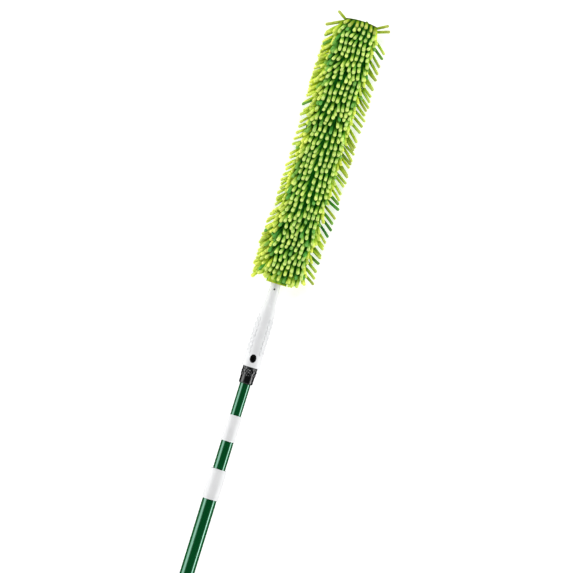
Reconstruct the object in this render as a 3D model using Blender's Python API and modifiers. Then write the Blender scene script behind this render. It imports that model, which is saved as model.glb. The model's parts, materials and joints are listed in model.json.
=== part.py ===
"""Microfiber duster on a three-section telescopic pole.

It lies along +X, from the pole's end cap at the origin to the tip of the head, with the wide face
and the release button towards +Z. The pole's axis is the X axis. Lengths are in metres.
"""

import math
import random

import bmesh
import bpy
from mathutils import Vector

# Clearances between neighbouring pieces, and how far a cutter overruns what it cuts
GAP = 0.0003
OVERRUN = 0.002
MILLIMETRE = 0.001

# Facets of a turned piece, and the edge left round on it
TURN_STEPS = 32
SMALL_STEPS = 24
EDGE_ROUND = 0.0006
SLIGHT_SWELL = 0.0003
SHARP_ANGLE = math.radians(35)
MERGE = 0.00001

# Pole tubes
TUBE_WALL = 0.0008
UPPER_TUBE_RADIUS = 0.0095
TUBE_STEP = 0.0015
MID_TUBE_RADIUS = UPPER_TUBE_RADIUS + TUBE_STEP
LOWER_TUBE_RADIUS = MID_TUBE_RADIUS + TUBE_STEP
LOWER_TUBE_LENGTH = 0.480

# How much of the middle and upper tube shows, as in the photograph
MID_EXPOSED = 0.051
UPPER_EXPOSED = 0.058

# Free room below each twist lock then, down to the end cap's plug or the next lock
MID_LOCK_ROOM = 0.0544
UPPER_LOCK_ROOM = 0.0696

# Ferrules: white guide sleeves with an inward lip
LOWER_FERRULE_LENGTH = 0.054
LOWER_FERRULE_WALL = 0.00235
LOWER_FERRULE_RADIUS = LOWER_TUBE_RADIUS + LOWER_FERRULE_WALL
MID_FERRULE_LENGTH = 0.0465
MID_FERRULE_WALL = 0.0017
MID_FERRULE_RADIUS = MID_TUBE_RADIUS + MID_FERRULE_WALL
FERRULE_LIP = 0.003

# End cap with its hanging lug
CAP_SKIRT_WALL = 0.0015
CAP_RADIUS = LOWER_TUBE_RADIUS + CAP_SKIRT_WALL
CAP_LUG_LENGTH = 0.022
CAP_LUG_THICKNESS = 0.018
CAP_FLOOR = 0.003
CAP_CHAMFER = 0.0015
CAP_SKIRT_LENGTH = 0.015
CAP_PLUG_LENGTH = 0.022
HANG_HOLE_RADIUS = 0.004
HANG_HOLE_FROM_END = 0.011

# Twist locks: a plug in the tube's end, whose eccentric cam turns in a split ring
LOCK_INSERT_LENGTH = 0.012
LOCK_FLANGE = 0.002
LOCK_RING_LENGTH = 0.016
LOCK_KEEPER = 0.0025
LOCK_RING_WALL = 0.0018
LOCK_CAM_SHIFT = 0.0020
LOCK_SPLIT = 0.003
LOCK_STEM_RADIUS = 0.004

# Black adapter between the upper tube and the grip
COLLAR_LENGTH = 0.0297
COLLAR_WALL = 0.00275
COLLAR_RADIUS = UPPER_TUBE_RADIUS + COLLAR_WALL
KNURL_LENGTH = 0.0155
KNURL_HEIGHT = 0.00095
KNURL_RADIUS = COLLAR_RADIUS + KNURL_HEIGHT
COLLAR_FOOT_ROUND = 0.0012
KNURL_RIBS = 16
KNURL_ROWS = 3
ADAPTER_SOCKET_DEPTH = 0.022
ADAPTER_WEB = 0.004
SHANK_SHOULDER = 0.00075
SHANK_RADIUS = COLLAR_RADIUS - SHANK_SHOULDER
SHANK_WALL = 0.0022
SHANK_LENGTH = 0.060

# Release button and its spring
BUTTON_FROM_RIM = 0.0154
BUTTON_WIDTH = 0.0107
BUTTON_LENGTH = 0.0146
BUTTON_PROUD = 0.0004
BUTTON_DISH = 0.0008
BUTTON_RIM = 0.0013
BUTTON_FLANGE = 0.001
BUTTON_FLANGE_THICKNESS = 0.0014
SPRING_RADIUS = 0.0032
SPRING_WIRE_RADIUS = 0.0004
SPRING_TURNS = 6
SPRING_POINTS_A_TURN = 9

# Grip: radii from its rim to the neck's hidden end. The rim and the body's start are placed from
# the rim's edge, and the rest back from the neck's visible end
GRIP_VISIBLE_LENGTH = 0.152
NECK_HIDDEN_LENGTH = 0.014
GRIP_RIM_WALL = 0.0051
GRIP_RIM_RADIUS = SHANK_RADIUS + GRIP_RIM_WALL
GRIP_BODY_WALL = 0.0039
GRIP_BODY_RADIUS = SHANK_RADIUS + GRIP_BODY_WALL
GRIP_SHOULDER_RADIUS = 0.0126
NECK_RADIUS = 0.0102
NECK_END_RADIUS = 0.0083
GRIP_RIM_END = 0.013
GRIP_BODY_START = 0.028
TAPER_REACH = 0.080
GRIP_BODY_END = GRIP_VISIBLE_LENGTH - TAPER_REACH
BULGE_REACH = 0.055
GRIP_TAPER_END = GRIP_VISIBLE_LENGTH - BULGE_REACH
SHOULDER_REACH = 0.044
GRIP_SHOULDER = GRIP_VISIBLE_LENGTH - SHOULDER_REACH
NECK_LENGTH = 0.033
NECK_START = GRIP_VISIBLE_LENGTH - NECK_LENGTH
NECK_TAPER_LENGTH = 0.022
NECK_TAPER_START = GRIP_VISIBLE_LENGTH - NECK_TAPER_LENGTH
GRIP_BULGE_SHARE = 0.93
GRIP_SOCKET_MARGIN = 0.002
GRIP_WALL = 0.003
NECK_PIN_REACH = 0.0111
NECK_PIN_FROM_RIM = GRIP_VISIBLE_LENGTH - NECK_PIN_REACH
NECK_PIN_RADIUS = 0.0011
NECK_PIN_RECESS = 0.0002

# Core of the head: a flat plate that bends at the ends of its links
CORE_LINKS = 4
CORE_WIDTH = 0.060
CORE_THICKNESS = 0.004
CORE_ARC_POINTS = 9
CORE_TIP_CORNER = 0.010
TANG_WIDTH = 0.011
TANG_IN_NECK = 0.044
CORE_FLARE_LENGTH = 0.022
CORE_END_MARGIN = 0.004

# Chenille sleeve
SLEEVE_LENGTH = 0.440
SLEEVE_SIDE_COVER = 0.003
SLEEVE_FACE_COVER = 0.0047
SLEEVE_EDGE_COVER = 0.0029
SLEEVE_WIDTH = CORE_WIDTH + 2 * SLEEVE_SIDE_COVER
SLEEVE_THICKNESS = CORE_THICKNESS + 2 * SLEEVE_FACE_COVER
SLEEVE_EDGE_THICKNESS = CORE_THICKNESS + 2 * SLEEVE_EDGE_COVER
HEM_LENGTH = 0.022
HEM_MOUTH_WIDTH = 0.035
HEM_MOUTH_COVER = 0.0021
HEM_MOUTH_THICKNESS = 2 * (NECK_END_RADIUS + GAP + HEM_MOUTH_COVER)
HEM_MIDDLE_SHARE = 0.62
HEM_COVER = 0.0022
TIP_LENGTH = 0.0136
SEAM_WIDTH = 0.056
SEAM_THICKNESS = 0.0032
SEAM_BOW = 0.0034

# Fingers of the sleeve
ROWS_A_LINK = 8
FACE_COLUMNS = 5
FINGER_WIDTH = 0.0060
FINGER_LENGTH = 0.0250
FINGER_LEAN = math.radians(38)
EDGE_LEAN = math.radians(34)
FINGER_LEAN_SPREAD = math.radians(4)
FINGER_LENGTH_SPREAD = 0.0012
FINGER_TIP_SHARE = 0.86
FACE_FAN = math.radians(30)
SIDE_FAN = math.radians(80)
EDGE_FINGER_HEIGHT = 0.0045
INSET = 0.0003
CORNER_LEAN = math.radians(-40)
FLAT_CUT = 0.0005
FINGER_SEED = 11

# Sizes that follow from these
LOWER_TUBE_START = CAP_LUG_LENGTH + CAP_FLOOR + GAP
LOWER_TUBE_END = LOWER_TUBE_START + LOWER_TUBE_LENGTH
LOWER_FERRULE_END = LOWER_TUBE_END + GAP + FERRULE_LIP
MID_FERRULE_START = LOWER_FERRULE_END + MID_EXPOSED
MID_FERRULE_END = MID_FERRULE_START + MID_FERRULE_LENGTH
MID_TUBE_END = MID_FERRULE_END - FERRULE_LIP - GAP
LOCK_RING_ROOM = LOCK_RING_LENGTH + 2 * GAP
LOCK_LENGTH = GAP + LOCK_FLANGE + LOCK_RING_ROOM + LOCK_KEEPER
CAP_PLUG_END = CAP_LUG_LENGTH + CAP_FLOOR + CAP_PLUG_LENGTH
MID_TUBE_START = CAP_PLUG_END + MID_LOCK_ROOM + LOCK_LENGTH
MID_TUBE_LENGTH = MID_TUBE_END - MID_TUBE_START
ADAPTER_START = MID_FERRULE_END + UPPER_EXPOSED
UPPER_TUBE_END = ADAPTER_START + ADAPTER_SOCKET_DEPTH - GAP
UPPER_TUBE_START = MID_TUBE_START + LOCK_INSERT_LENGTH + UPPER_LOCK_ROOM + LOCK_LENGTH
UPPER_TUBE_LENGTH = UPPER_TUBE_END - UPPER_TUBE_START
GRIP_START = ADAPTER_START + COLLAR_LENGTH + GAP
GRIP_LENGTH = GRIP_VISIBLE_LENGTH + NECK_HIDDEN_LENGTH
HEAD_START = GRIP_START + GRIP_VISIBLE_LENGTH
SLEEVE_START = HEAD_START + HEM_LENGTH
LINK_LENGTH = SLEEVE_LENGTH / CORE_LINKS
TIP_START = SLEEVE_START + SLEEVE_LENGTH
BUTTON_X = GRIP_START + BUTTON_FROM_RIM
NECK_PIN_X = GRIP_START + NECK_PIN_FROM_RIM
HALF_CORE = CORE_THICKNESS / 2
SLOT_HALF = HALF_CORE + GAP
SLEEVE_HALF = SLEEVE_THICKNESS / 2
FINGER_REACH = FINGER_LENGTH * math.cos(FINGER_LEAN)
FLOOR_Z = FLAT_CUT - SLEEVE_HALF - FINGER_REACH

PARTS = "microfiber_duster"
CUTTERS = "cutters"


def empty_the_scene():
    for thing in list(bpy.data.objects):
        bpy.data.objects.remove(thing, do_unlink=True)
    for name in (PARTS, CUTTERS):
        group = bpy.data.collections.new(name)
        bpy.context.scene.collection.children.link(group)
    bpy.data.collections[CUTTERS].hide_render = True


def material(name, colour, roughness, metallic=0.0):
    made = bpy.data.materials.new(name)
    made.diffuse_color = (*colour, 1.0)
    made.use_nodes = True
    shader = made.node_tree.nodes["Principled BSDF"]
    shader.inputs["Base Color"].default_value = (*colour, 1.0)
    shader.inputs["Roughness"].default_value = roughness
    shader.inputs["Metallic"].default_value = metallic
    return made


def make_materials():
    return {
        "lacquer": material("green_lacquer", (0.002, 0.065, 0.015), 0.22, 0.3),
        "white": material("white_plastic", (0.80, 0.81, 0.82), 0.42),
        "black": material("black_plastic", (0.012, 0.013, 0.014), 0.38),
        "lock": material("lock_plastic", (0.55, 0.54, 0.50), 0.5),
        "steel": material("spring_steel", (0.45, 0.45, 0.46), 0.3, 1.0),
        "pin": material("dark_steel", (0.08, 0.08, 0.085), 0.35, 1.0),
        "core": material("core_plastic", (0.70, 0.71, 0.70), 0.5),
        "lime": material("lime_chenille", (0.34, 0.56, 0.03), 0.9),
        "backing": material("green_backing", (0.05, 0.22, 0.03), 0.95),
    }


def add_object(name, data):
    piece = bpy.data.objects.new(name, data)
    bpy.data.collections[PARTS].objects.link(piece)
    return piece


def mesh_from(name, build):
    """A new mesh that `build` fills through a bmesh."""
    mesh = bpy.data.meshes.new(name)
    work = bmesh.new()
    build(work)
    bmesh.ops.recalc_face_normals(work, faces=work.faces)
    work.to_mesh(mesh)
    work.free()
    return mesh


def paint(piece, look):
    piece.data.materials.clear()
    piece.data.materials.append(look)
    return piece


def settle(piece):
    """Applies what the modifiers make of a piece, and shades it smooth between its sharp edges."""
    graph = bpy.context.evaluated_depsgraph_get()
    graph.update()
    mesh = bpy.data.meshes.new_from_object(piece.evaluated_get(graph))
    piece.modifiers.clear()
    if piece.type == "CURVE":
        solid = add_object(piece.name + "_solid", mesh)
        solid.matrix_world = piece.matrix_world
        name = piece.name
        bpy.data.objects.remove(piece, do_unlink=True)
        solid.name = name
        piece = solid
        work = bmesh.new()
        work.from_mesh(mesh)
        bmesh.ops.remove_doubles(work, verts=work.verts, dist=MERGE)
        work.to_mesh(mesh)
        work.free()
    else:
        piece.data = mesh
    mesh.shade_smooth()
    mesh.set_sharp_from_angle(angle=SHARP_ANGLE)
    return piece


def revolved(name, outline, steps):
    """A piece turned round its own Z axis, from an outline of (height, radius) points. They run
    down the outer side from the top, and back up the bore if there is one."""
    mesh = bpy.data.meshes.new(name)
    edges = [(i, i + 1) for i in range(len(outline) - 1)]
    if outline[0][1] or outline[-1][1]:
        edges.append((len(outline) - 1, 0))
    mesh.from_pydata([(radius, 0, height) for height, radius in outline], edges, [])
    piece = add_object(name, mesh)
    screw = piece.modifiers.new("turn", "SCREW")
    screw.steps = screw.render_steps = steps
    screw.use_merge_vertices = True
    screw.merge_threshold = MERGE
    screw.use_smooth_shade = True
    return piece


def turned(name, outline, start, steps=TURN_STEPS):
    """A piece turned round the X axis, with its outline's heights counted along it from `start`."""
    piece = revolved(name, outline, steps)
    piece.location = (start, 0, 0)
    piece.rotation_euler = (0, math.pi / 2, 0)
    return piece


def cutter(name, mesh):
    return as_cutter(add_object(name, mesh))


def as_cutter(piece):
    """Moves a piece to the cutters, which aren't part of the duster."""
    bpy.data.collections[PARTS].objects.unlink(piece)
    bpy.data.collections[CUTTERS].objects.link(piece)
    piece.hide_render = True
    piece.display_type = "WIRE"
    return piece


def box_cutter(name, low, high):
    def build(work):
        bmesh.ops.create_cube(work, size=1)
        for vert in work.verts:
            vert.co = [(low[i] + high[i]) / 2 + vert.co[i] * (high[i] - low[i]) for i in range(3)]

    return cutter(name, mesh_from(name, build))


def post(work, radius, bottom, top, steps=SMALL_STEPS, stretch=1.0):
    """An upright cylinder between two heights, stretched along X."""
    made = bmesh.ops.create_cone(
        work, cap_ends=True, segments=steps, radius1=radius, radius2=radius, depth=top - bottom
    )
    for vert in made["verts"]:
        vert.co.x *= stretch
        vert.co.z += (top + bottom) / 2


def post_cutter(name, x, radius, bottom, top, stretch=1.0):
    piece = cutter(name, mesh_from(name, lambda work: post(work, radius, bottom, top, stretch=stretch)))
    piece.location.x = x
    return piece


def boolean(piece, other, operation="DIFFERENCE"):
    modifier = piece.modifiers.new(operation.lower(), "BOOLEAN")
    modifier.operation = operation
    modifier.object = other
    return piece


def tube(name, radius, start, length, look):
    bore = radius - TUBE_WALL
    outline = [(length, radius), (0, radius), (0, bore), (length, bore)]
    return paint(settle(turned(name, outline, start)), look)


def ferrule(name, radius, length, tube_radius, inner_tube_radius, end, look):
    """A guide sleeve over a tube's upper end. Its lip guides the thinner tube that slides in it."""
    lip = length - FERRULE_LIP
    bore = tube_radius + GAP
    throat = inner_tube_radius + GAP
    outline = [
        (length, radius - EDGE_ROUND),
        (length - EDGE_ROUND, radius),
        (EDGE_ROUND, radius),
        (0, radius - EDGE_ROUND),
        (0, bore),
        (lip, bore),
        (lip, throat),
        (length, throat),
    ]
    return paint(settle(turned(name, outline, end - length)), look)


def end_cap(look):
    skirt_bore = LOWER_TUBE_RADIUS + GAP
    plug = LOWER_TUBE_RADIUS - TUBE_WALL - GAP
    face = CAP_LUG_LENGTH + CAP_FLOOR
    outline = [
        (face + CAP_PLUG_LENGTH, 0),
        (face + CAP_PLUG_LENGTH, plug),
        (face, plug),
        (face, skirt_bore),
        (face + CAP_SKIRT_LENGTH, skirt_bore),
        (face + CAP_SKIRT_LENGTH, CAP_RADIUS - EDGE_ROUND),
        (face + CAP_SKIRT_LENGTH - EDGE_ROUND, CAP_RADIUS),
        (CAP_CHAMFER, CAP_RADIUS),
        (0, CAP_RADIUS - CAP_CHAMFER),
        (0, 0),
    ]
    piece = turned("end_cap", outline, 0)
    half = CAP_LUG_THICKNESS / 2
    reach = CAP_RADIUS + OVERRUN
    for side, name in ((1, "lug_flat_front"), (-1, "lug_flat_back")):
        near, far = sorted((side * half, side * reach))
        flat = box_cutter(name, (-OVERRUN, -reach, near), (CAP_LUG_LENGTH, reach, far))
        boolean(piece, flat)
    hole = post_cutter("hang_hole", HANG_HOLE_FROM_END, HANG_HOLE_RADIUS, -reach, reach)
    return paint(settle(boolean(piece, hole)), look)


def lock_sizes(outer_tube_radius):
    """(ring's outer radius, its bore, the cam's radius) in a tube of this outer radius."""
    ring = outer_tube_radius - TUBE_WALL - GAP
    bore = ring - LOCK_RING_WALL
    return ring, bore, bore - GAP - LOCK_CAM_SHIFT


def lock_plug(name, outer_tube_radius, tube_radius, tube_start, look):
    """A plug in the tube's lower end, with a flange, an eccentric cam and a keeper below it."""
    ring, _, cam = lock_sizes(outer_tube_radius)
    insert = tube_radius - TUBE_WALL - GAP
    flange = tube_radius - GAP
    keeper = ring - GAP
    flange_top = -GAP
    flange_foot = flange_top - LOCK_FLANGE
    keeper_top = flange_foot - LOCK_RING_ROOM
    keeper_foot = keeper_top - LOCK_KEEPER
    outline = [
        (LOCK_INSERT_LENGTH, 0),
        (LOCK_INSERT_LENGTH, insert),
        (flange_top, insert),
        (flange_top, flange),
        (flange_foot, flange),
        (flange_foot, LOCK_STEM_RADIUS),
        (keeper_top, LOCK_STEM_RADIUS),
        (keeper_top, keeper),
        (keeper_foot, keeper),
        (keeper_foot, 0),
    ]
    piece = turned(name, outline, tube_start, SMALL_STEPS)
    # The cam overlaps the flange and the keeper by one gap, so that the three make one body
    lobe_top = LOCK_RING_ROOM + GAP
    lobe = [(lobe_top, 0), (lobe_top, cam), (-GAP, cam), (-GAP, 0)]
    eccentric = turned(name + "_cam", lobe, tube_start + keeper_top, SMALL_STEPS)
    eccentric.location.y = LOCK_CAM_SHIFT
    eccentric = as_cutter(settle(eccentric))
    return paint(settle(boolean(piece, eccentric, "UNION")), look)


def lock_ring(name, outer_tube_radius, tube_start, look):
    ring, bore, _ = lock_sizes(outer_tube_radius)
    top = tube_start - GAP - LOCK_FLANGE - GAP
    outline = [(LOCK_RING_LENGTH, ring), (0, ring), (0, bore), (LOCK_RING_LENGTH, bore)]
    piece = turned(name, outline, top - LOCK_RING_LENGTH)
    half = LOCK_SPLIT / 2
    low = (top - LOCK_RING_LENGTH - OVERRUN, -half, -ring - OVERRUN)
    split = box_cutter(name + "_split", low, (top + OVERRUN, half, 0))
    return paint(settle(boolean(piece, split)), look)


def pole_adapter(look):
    """Collar with a band of staggered lugs, a socket for the tube, and the shank for the grip."""
    socket = UPPER_TUBE_RADIUS + GAP
    total = COLLAR_LENGTH + SHANK_LENGTH
    row = KNURL_LENGTH / (2 * KNURL_ROWS + 1)
    rings = [COLLAR_LENGTH - row * i for i in range(2 * KNURL_ROWS + 2)]
    outline = [(total, 0), (total, SHANK_RADIUS), (COLLAR_LENGTH, SHANK_RADIUS)]
    outline += [(height, COLLAR_RADIUS) for height in rings]
    outline += [
        (COLLAR_FOOT_ROUND, COLLAR_RADIUS),
        (0, COLLAR_RADIUS - COLLAR_FOOT_ROUND),
        (0, socket),
        (ADAPTER_SOCKET_DEPTH, socket),
        (ADAPTER_SOCKET_DEPTH, 0),
    ]
    around = 3 * KNURL_RIBS
    piece = settle(turned("pole_adapter", outline, ADAPTER_START, around))
    # A lug spans two rings and two facets of three, and each row of lugs is turned by a facet
    for vert in piece.data.vertices:
        ring = round((COLLAR_LENGTH - vert.co.z) / row)
        radius = math.hypot(vert.co.x, vert.co.y)
        if not 1 <= ring <= 2 * KNURL_ROWS or abs(radius - COLLAR_RADIUS) > KNURL_HEIGHT / 2:
            continue
        facet = round(math.atan2(vert.co.y, vert.co.x) / (2 * math.pi) * around)
        if (facet + (ring + 1) // 2) % 3:
            vert.co.x *= KNURL_RADIUS / COLLAR_RADIUS
            vert.co.y *= KNURL_RADIUS / COLLAR_RADIUS
    inside = SHANK_RADIUS - SHANK_WALL
    hollow_start = ADAPTER_SOCKET_DEPTH + ADAPTER_WEB
    hollow_end = total + OVERRUN
    bore = [(hollow_end, 0), (hollow_end, inside), (hollow_start, inside), (hollow_start, 0)]
    boolean(piece, as_cutter(settle(turned("shank_hollow", bore, ADAPTER_START))))
    boolean(piece, bpy.data.objects["button_opening"])
    return paint(settle(piece), look)


def button_opening():
    """The oval hole for the button through the grip and the shank, used on both."""
    radius = BUTTON_WIDTH / 2 + GAP
    stretch = (BUTTON_LENGTH / 2 + GAP) / radius
    return post_cutter("button_opening", BUTTON_X, radius, 0, GRIP_RIM_RADIUS + OVERRUN, stretch)


def flange_top_z():
    """The height at which the button's flange meets the inside of the shank."""
    inside = SHANK_RADIUS - SHANK_WALL - GAP
    half = BUTTON_WIDTH / 2 + BUTTON_FLANGE
    return math.sqrt(inside * inside - half * half)


def release_button(look):
    top = grip_radius_at(BUTTON_FROM_RIM) + BUTTON_PROUD
    radius = BUTTON_WIDTH / 2
    flange = radius + BUTTON_FLANGE
    flange_top = flange_top_z()
    flange_foot = flange_top - BUTTON_FLANGE_THICKNESS
    outline = [
        (top - BUTTON_DISH, 0),
        (top - BUTTON_DISH / 2, radius - BUTTON_RIM),
        (top, radius - BUTTON_RIM / 2),
        (top - BUTTON_RIM / 2, radius),
        (flange_top, radius),
        (flange_top, flange),
        (flange_foot, flange),
        (flange_foot, 0),
    ]
    piece = settle(revolved("release_button", outline, SMALL_STEPS))
    for vert in piece.data.vertices:
        vert.co.x *= BUTTON_LENGTH / BUTTON_WIDTH
    piece.location.x = BUTTON_X
    return paint(piece, look)


def poly_curve(name, points, radius, resolution):
    curve = bpy.data.curves.new(name, "CURVE")
    curve.dimensions = "3D"
    curve.bevel_depth = radius
    curve.bevel_resolution = resolution
    curve.use_fill_caps = True
    line = curve.splines.new("POLY")
    line.points.add(len(points) - 1)
    for point, place in zip(line.points, points):
        point.co = (*place, 1)
    return add_object(name, curve)


def least_gap(points, wire_radius, apart):
    """The least gap between a wire's curls, over all points that lie at least `apart` steps apart."""
    places = [Vector(point) for point in points]
    gaps = []
    for i, place in enumerate(places):
        gaps += [(place - other).length - 2 * wire_radius for other in places[i + apart:]]
    return min(gaps)


def button_spring(look):
    """A coil spring from the inside of the shank up to the button's flange."""
    inside = SHANK_RADIUS - SHANK_WALL
    outer = SPRING_RADIUS + SPRING_WIRE_RADIUS
    foot = -math.sqrt(inside * inside - outer * outer) + GAP + SPRING_WIRE_RADIUS
    top = flange_top_z() - BUTTON_FLANGE_THICKNESS - GAP - SPRING_WIRE_RADIUS
    count = SPRING_TURNS * SPRING_POINTS_A_TURN
    points = []
    for i in range(count + 1):
        angle = 2 * math.pi * i / SPRING_POINTS_A_TURN
        height = foot + (top - foot) * i / count
        points.append((SPRING_RADIUS * math.cos(angle), SPRING_RADIUS * math.sin(angle), height))
    gap = least_gap(points, SPRING_WIRE_RADIUS, SPRING_POINTS_A_TURN // 2)
    print(f"button_spring: least gap between its curls {gap / MILLIMETRE:.2f} mm")
    piece = settle(poly_curve("button_spring", points, SPRING_WIRE_RADIUS, 1))
    piece.location.x = BUTTON_X
    return paint(piece, look)


def grip_stations():
    """(along, radius) of the grip's outside, from its rim to the neck's hidden end."""
    return [
        (0, GRIP_RIM_RADIUS - EDGE_ROUND),
        (EDGE_ROUND, GRIP_RIM_RADIUS),
        (GRIP_RIM_END, GRIP_RIM_RADIUS - SLIGHT_SWELL),
        (GRIP_BODY_START, GRIP_BODY_RADIUS),
        ((GRIP_BODY_START + GRIP_BODY_END) / 2, GRIP_BODY_RADIUS + SLIGHT_SWELL),
        (GRIP_BODY_END, GRIP_BODY_RADIUS),
        (GRIP_TAPER_END, GRIP_BODY_RADIUS * GRIP_BULGE_SHARE),
        (GRIP_SHOULDER, GRIP_SHOULDER_RADIUS),
        ((GRIP_SHOULDER + NECK_START) / 2, (GRIP_SHOULDER_RADIUS + NECK_RADIUS) / 2 - EDGE_ROUND),
        (NECK_START, NECK_RADIUS),
        (NECK_TAPER_START, NECK_RADIUS - SLIGHT_SWELL),
        (GRIP_VISIBLE_LENGTH, NECK_END_RADIUS),
        (GRIP_LENGTH, NECK_END_RADIUS),
    ]


def grip_radius_at(along):
    stations = grip_stations()
    for (x0, r0), (x1, r1) in zip(stations, stations[1:]):
        if x0 <= along <= x1:
            return r0 + (r1 - r0) * (along - x0) / (x1 - x0)
    return stations[-1][1]


def grip(look):
    socket = SHANK_RADIUS + GAP
    socket_depth = SHANK_LENGTH + GRIP_SOCKET_MARGIN
    hollow = GRIP_SHOULDER_RADIUS - GRIP_WALL
    tang_start = GRIP_LENGTH - NECK_HIDDEN_LENGTH - TANG_IN_NECK
    outline = list(reversed(grip_stations()))
    outline += [
        (0, socket),
        (socket_depth, socket),
        (socket_depth, hollow),
        (GRIP_TAPER_END, hollow),
        (tang_start, 0),
    ]
    outline.insert(0, (GRIP_LENGTH, 0))
    piece = turned("grip", outline, GRIP_START)
    half_width = TANG_WIDTH / 2 + GAP
    low = (GRIP_START + tang_start - OVERRUN, -half_width, -SLOT_HALF)
    slot = box_cutter("tang_slot", low, (GRIP_START + GRIP_LENGTH + OVERRUN, half_width, SLOT_HALF))
    reach = GRIP_RIM_RADIUS
    pin_hole = post_cutter("neck_pin_hole", NECK_PIN_X, NECK_PIN_RADIUS + GAP, -reach, reach)
    for tool in (slot, bpy.data.objects["button_opening"], pin_hole):
        boolean(piece, tool)
    return paint(settle(piece), look)


def neck_pin(look):
    half = grip_radius_at(NECK_PIN_FROM_RIM) - NECK_PIN_RECESS
    mesh = mesh_from("neck_pin", lambda work: post(work, NECK_PIN_RADIUS, -half, half))
    piece = add_object("neck_pin", mesh)
    piece.location.x = NECK_PIN_X
    return paint(settle(piece), look)


def flat_outline(name, points, thickness):
    """A flat closed outline in its own XY plane, extruded both ways to this thickness."""
    curve = bpy.data.curves.new(name, "CURVE")
    curve.dimensions = "2D"
    curve.fill_mode = "BOTH"
    curve.extrude = thickness / 2
    line = curve.splines.new("POLY")
    line.points.add(len(points) - 1)
    for point, (x, y) in zip(line.points, points):
        point.co = (x, y, 0, 1)
    line.use_cyclic_u = True
    return add_object(name, curve)


def arc(centre, radius, start, end, count):
    places = [start + (end - start) * i / (count - 1) for i in range(count)]
    return [(centre + radius * math.cos(a), radius * math.sin(a)) for a in places]


def knuckle_x(number):
    """Where the core bends after link `number`."""
    return SLEEVE_START + LINK_LENGTH * number


def core_link(number, look):
    """One stiff stretch of the core: a round end that turns in the next link's hollow end."""
    end = knuckle_x(number)
    quarter = math.pi / 2
    if number < CORE_LINKS:
        side = arc(end, HALF_CORE, -quarter, quarter, CORE_ARC_POINTS)
    else:
        end = TIP_START - CORE_END_MARGIN
        side = [(end, -HALF_CORE), (end, HALF_CORE)]
    if number > 1:
        hollow = HALF_CORE + GAP
        lip = math.asin(HALF_CORE / hollow)
        side += arc(knuckle_x(number - 1), hollow, lip, -lip, CORE_ARC_POINTS)
    else:
        start = HEAD_START - TANG_IN_NECK + GAP
        side += [(start, HALF_CORE), (start, -HALF_CORE)]
    piece = flat_outline(f"core_link_{number}", side, CORE_WIDTH)
    piece.rotation_euler = (math.pi / 2, 0, 0)
    piece = settle(piece)
    if number == 1:
        plan = core_root_plan()
    elif number == CORE_LINKS:
        plan = core_tip_plan()
    else:
        return paint(piece, look)
    shape = settle(flat_outline(f"core_plan_{number}", plan, CORE_THICKNESS + 2 * OVERRUN))
    boolean(piece, as_cutter(shape), "INTERSECT")
    if number == 1:
        hole = post_cutter("tang_hole", NECK_PIN_X, NECK_PIN_RADIUS + GAP, -SLOT_HALF, SLOT_HALF)
        boolean(piece, hole)
    return paint(settle(piece), look)


def core_root_plan():
    """Seen from above: the tang that goes into the neck, flaring to the full width."""
    tang = TANG_WIDTH / 2
    full = CORE_WIDTH / 2 + OVERRUN
    flare = HEAD_START + NECK_HIDDEN_LENGTH + GAP
    wide = flare + CORE_FLARE_LENGTH
    end = knuckle_x(1) + HALF_CORE + OVERRUN
    back = HEAD_START - TANG_IN_NECK - OVERRUN
    half = [(back, tang), (flare, tang), (wide, full), (end, full)]
    return [(x, -y) for x, y in half] + [(x, y) for x, y in reversed(half)]


def core_tip_plan():
    start = knuckle_x(CORE_LINKS - 1) - CORE_WIDTH
    end = TIP_START - CORE_END_MARGIN + OVERRUN
    full = CORE_WIDTH / 2 + OVERRUN
    corner = CORE_TIP_CORNER + OVERRUN
    half = [(start, full), (end - corner, full), (end, full - corner)]
    return [(x, -y) for x, y in half] + [(x, y) for x, y in reversed(half)]


def section(half_width, edge_half, middle_half, side):
    """Half of the sleeve's outline across the head, from the +Y edge over the face to the -Y edge.
    `side` is 1 on the front and -1 on the back."""
    part_line = side * GAP / 2
    count = FACE_COLUMNS
    points = [(half_width, part_line)]
    shoulder = half_width - (middle_half - edge_half)
    for i in range(count + 1):
        share = 2 * i / count - 1
        rise = middle_half - (middle_half - edge_half) * share * share
        points.append((-shoulder * share, side * rise))
    points.append((-half_width, part_line))
    return points


def skin(work, loops):
    """Joins closed loops of as many points each with faces. Returns the rows of faces."""
    rings = [[work.verts.new(point) for point in loop] for loop in loops]
    count = len(rings[0])
    rows = []
    for ring, following in zip(rings, rings[1:]):
        row = []
        for i in range(count):
            j = (i + 1) % count
            row.append(work.faces.new((ring[i], ring[j], following[j], following[i])))
        rows.append(row)
    return rings, rows


def close_end(work, ring):
    """Faces between the outer and the inner half of a loop that goes out and comes back."""
    half = len(ring) // 2
    for i in range(half - 1):
        work.faces.new((ring[i], ring[i + 1], ring[-2 - i], ring[-1 - i]))


def leaning(fan, side, lean, draw):
    """The direction of a finger that turns `fan` from upright towards +Y, and leans to the grip."""
    lean += draw.uniform(-FINGER_LEAN_SPREAD, FINGER_LEAN_SPREAD)
    out = Vector((0, math.sin(fan), side * math.cos(fan)))
    return out * math.cos(lean) - Vector((1, 0, 0)) * math.sin(lean)


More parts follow.
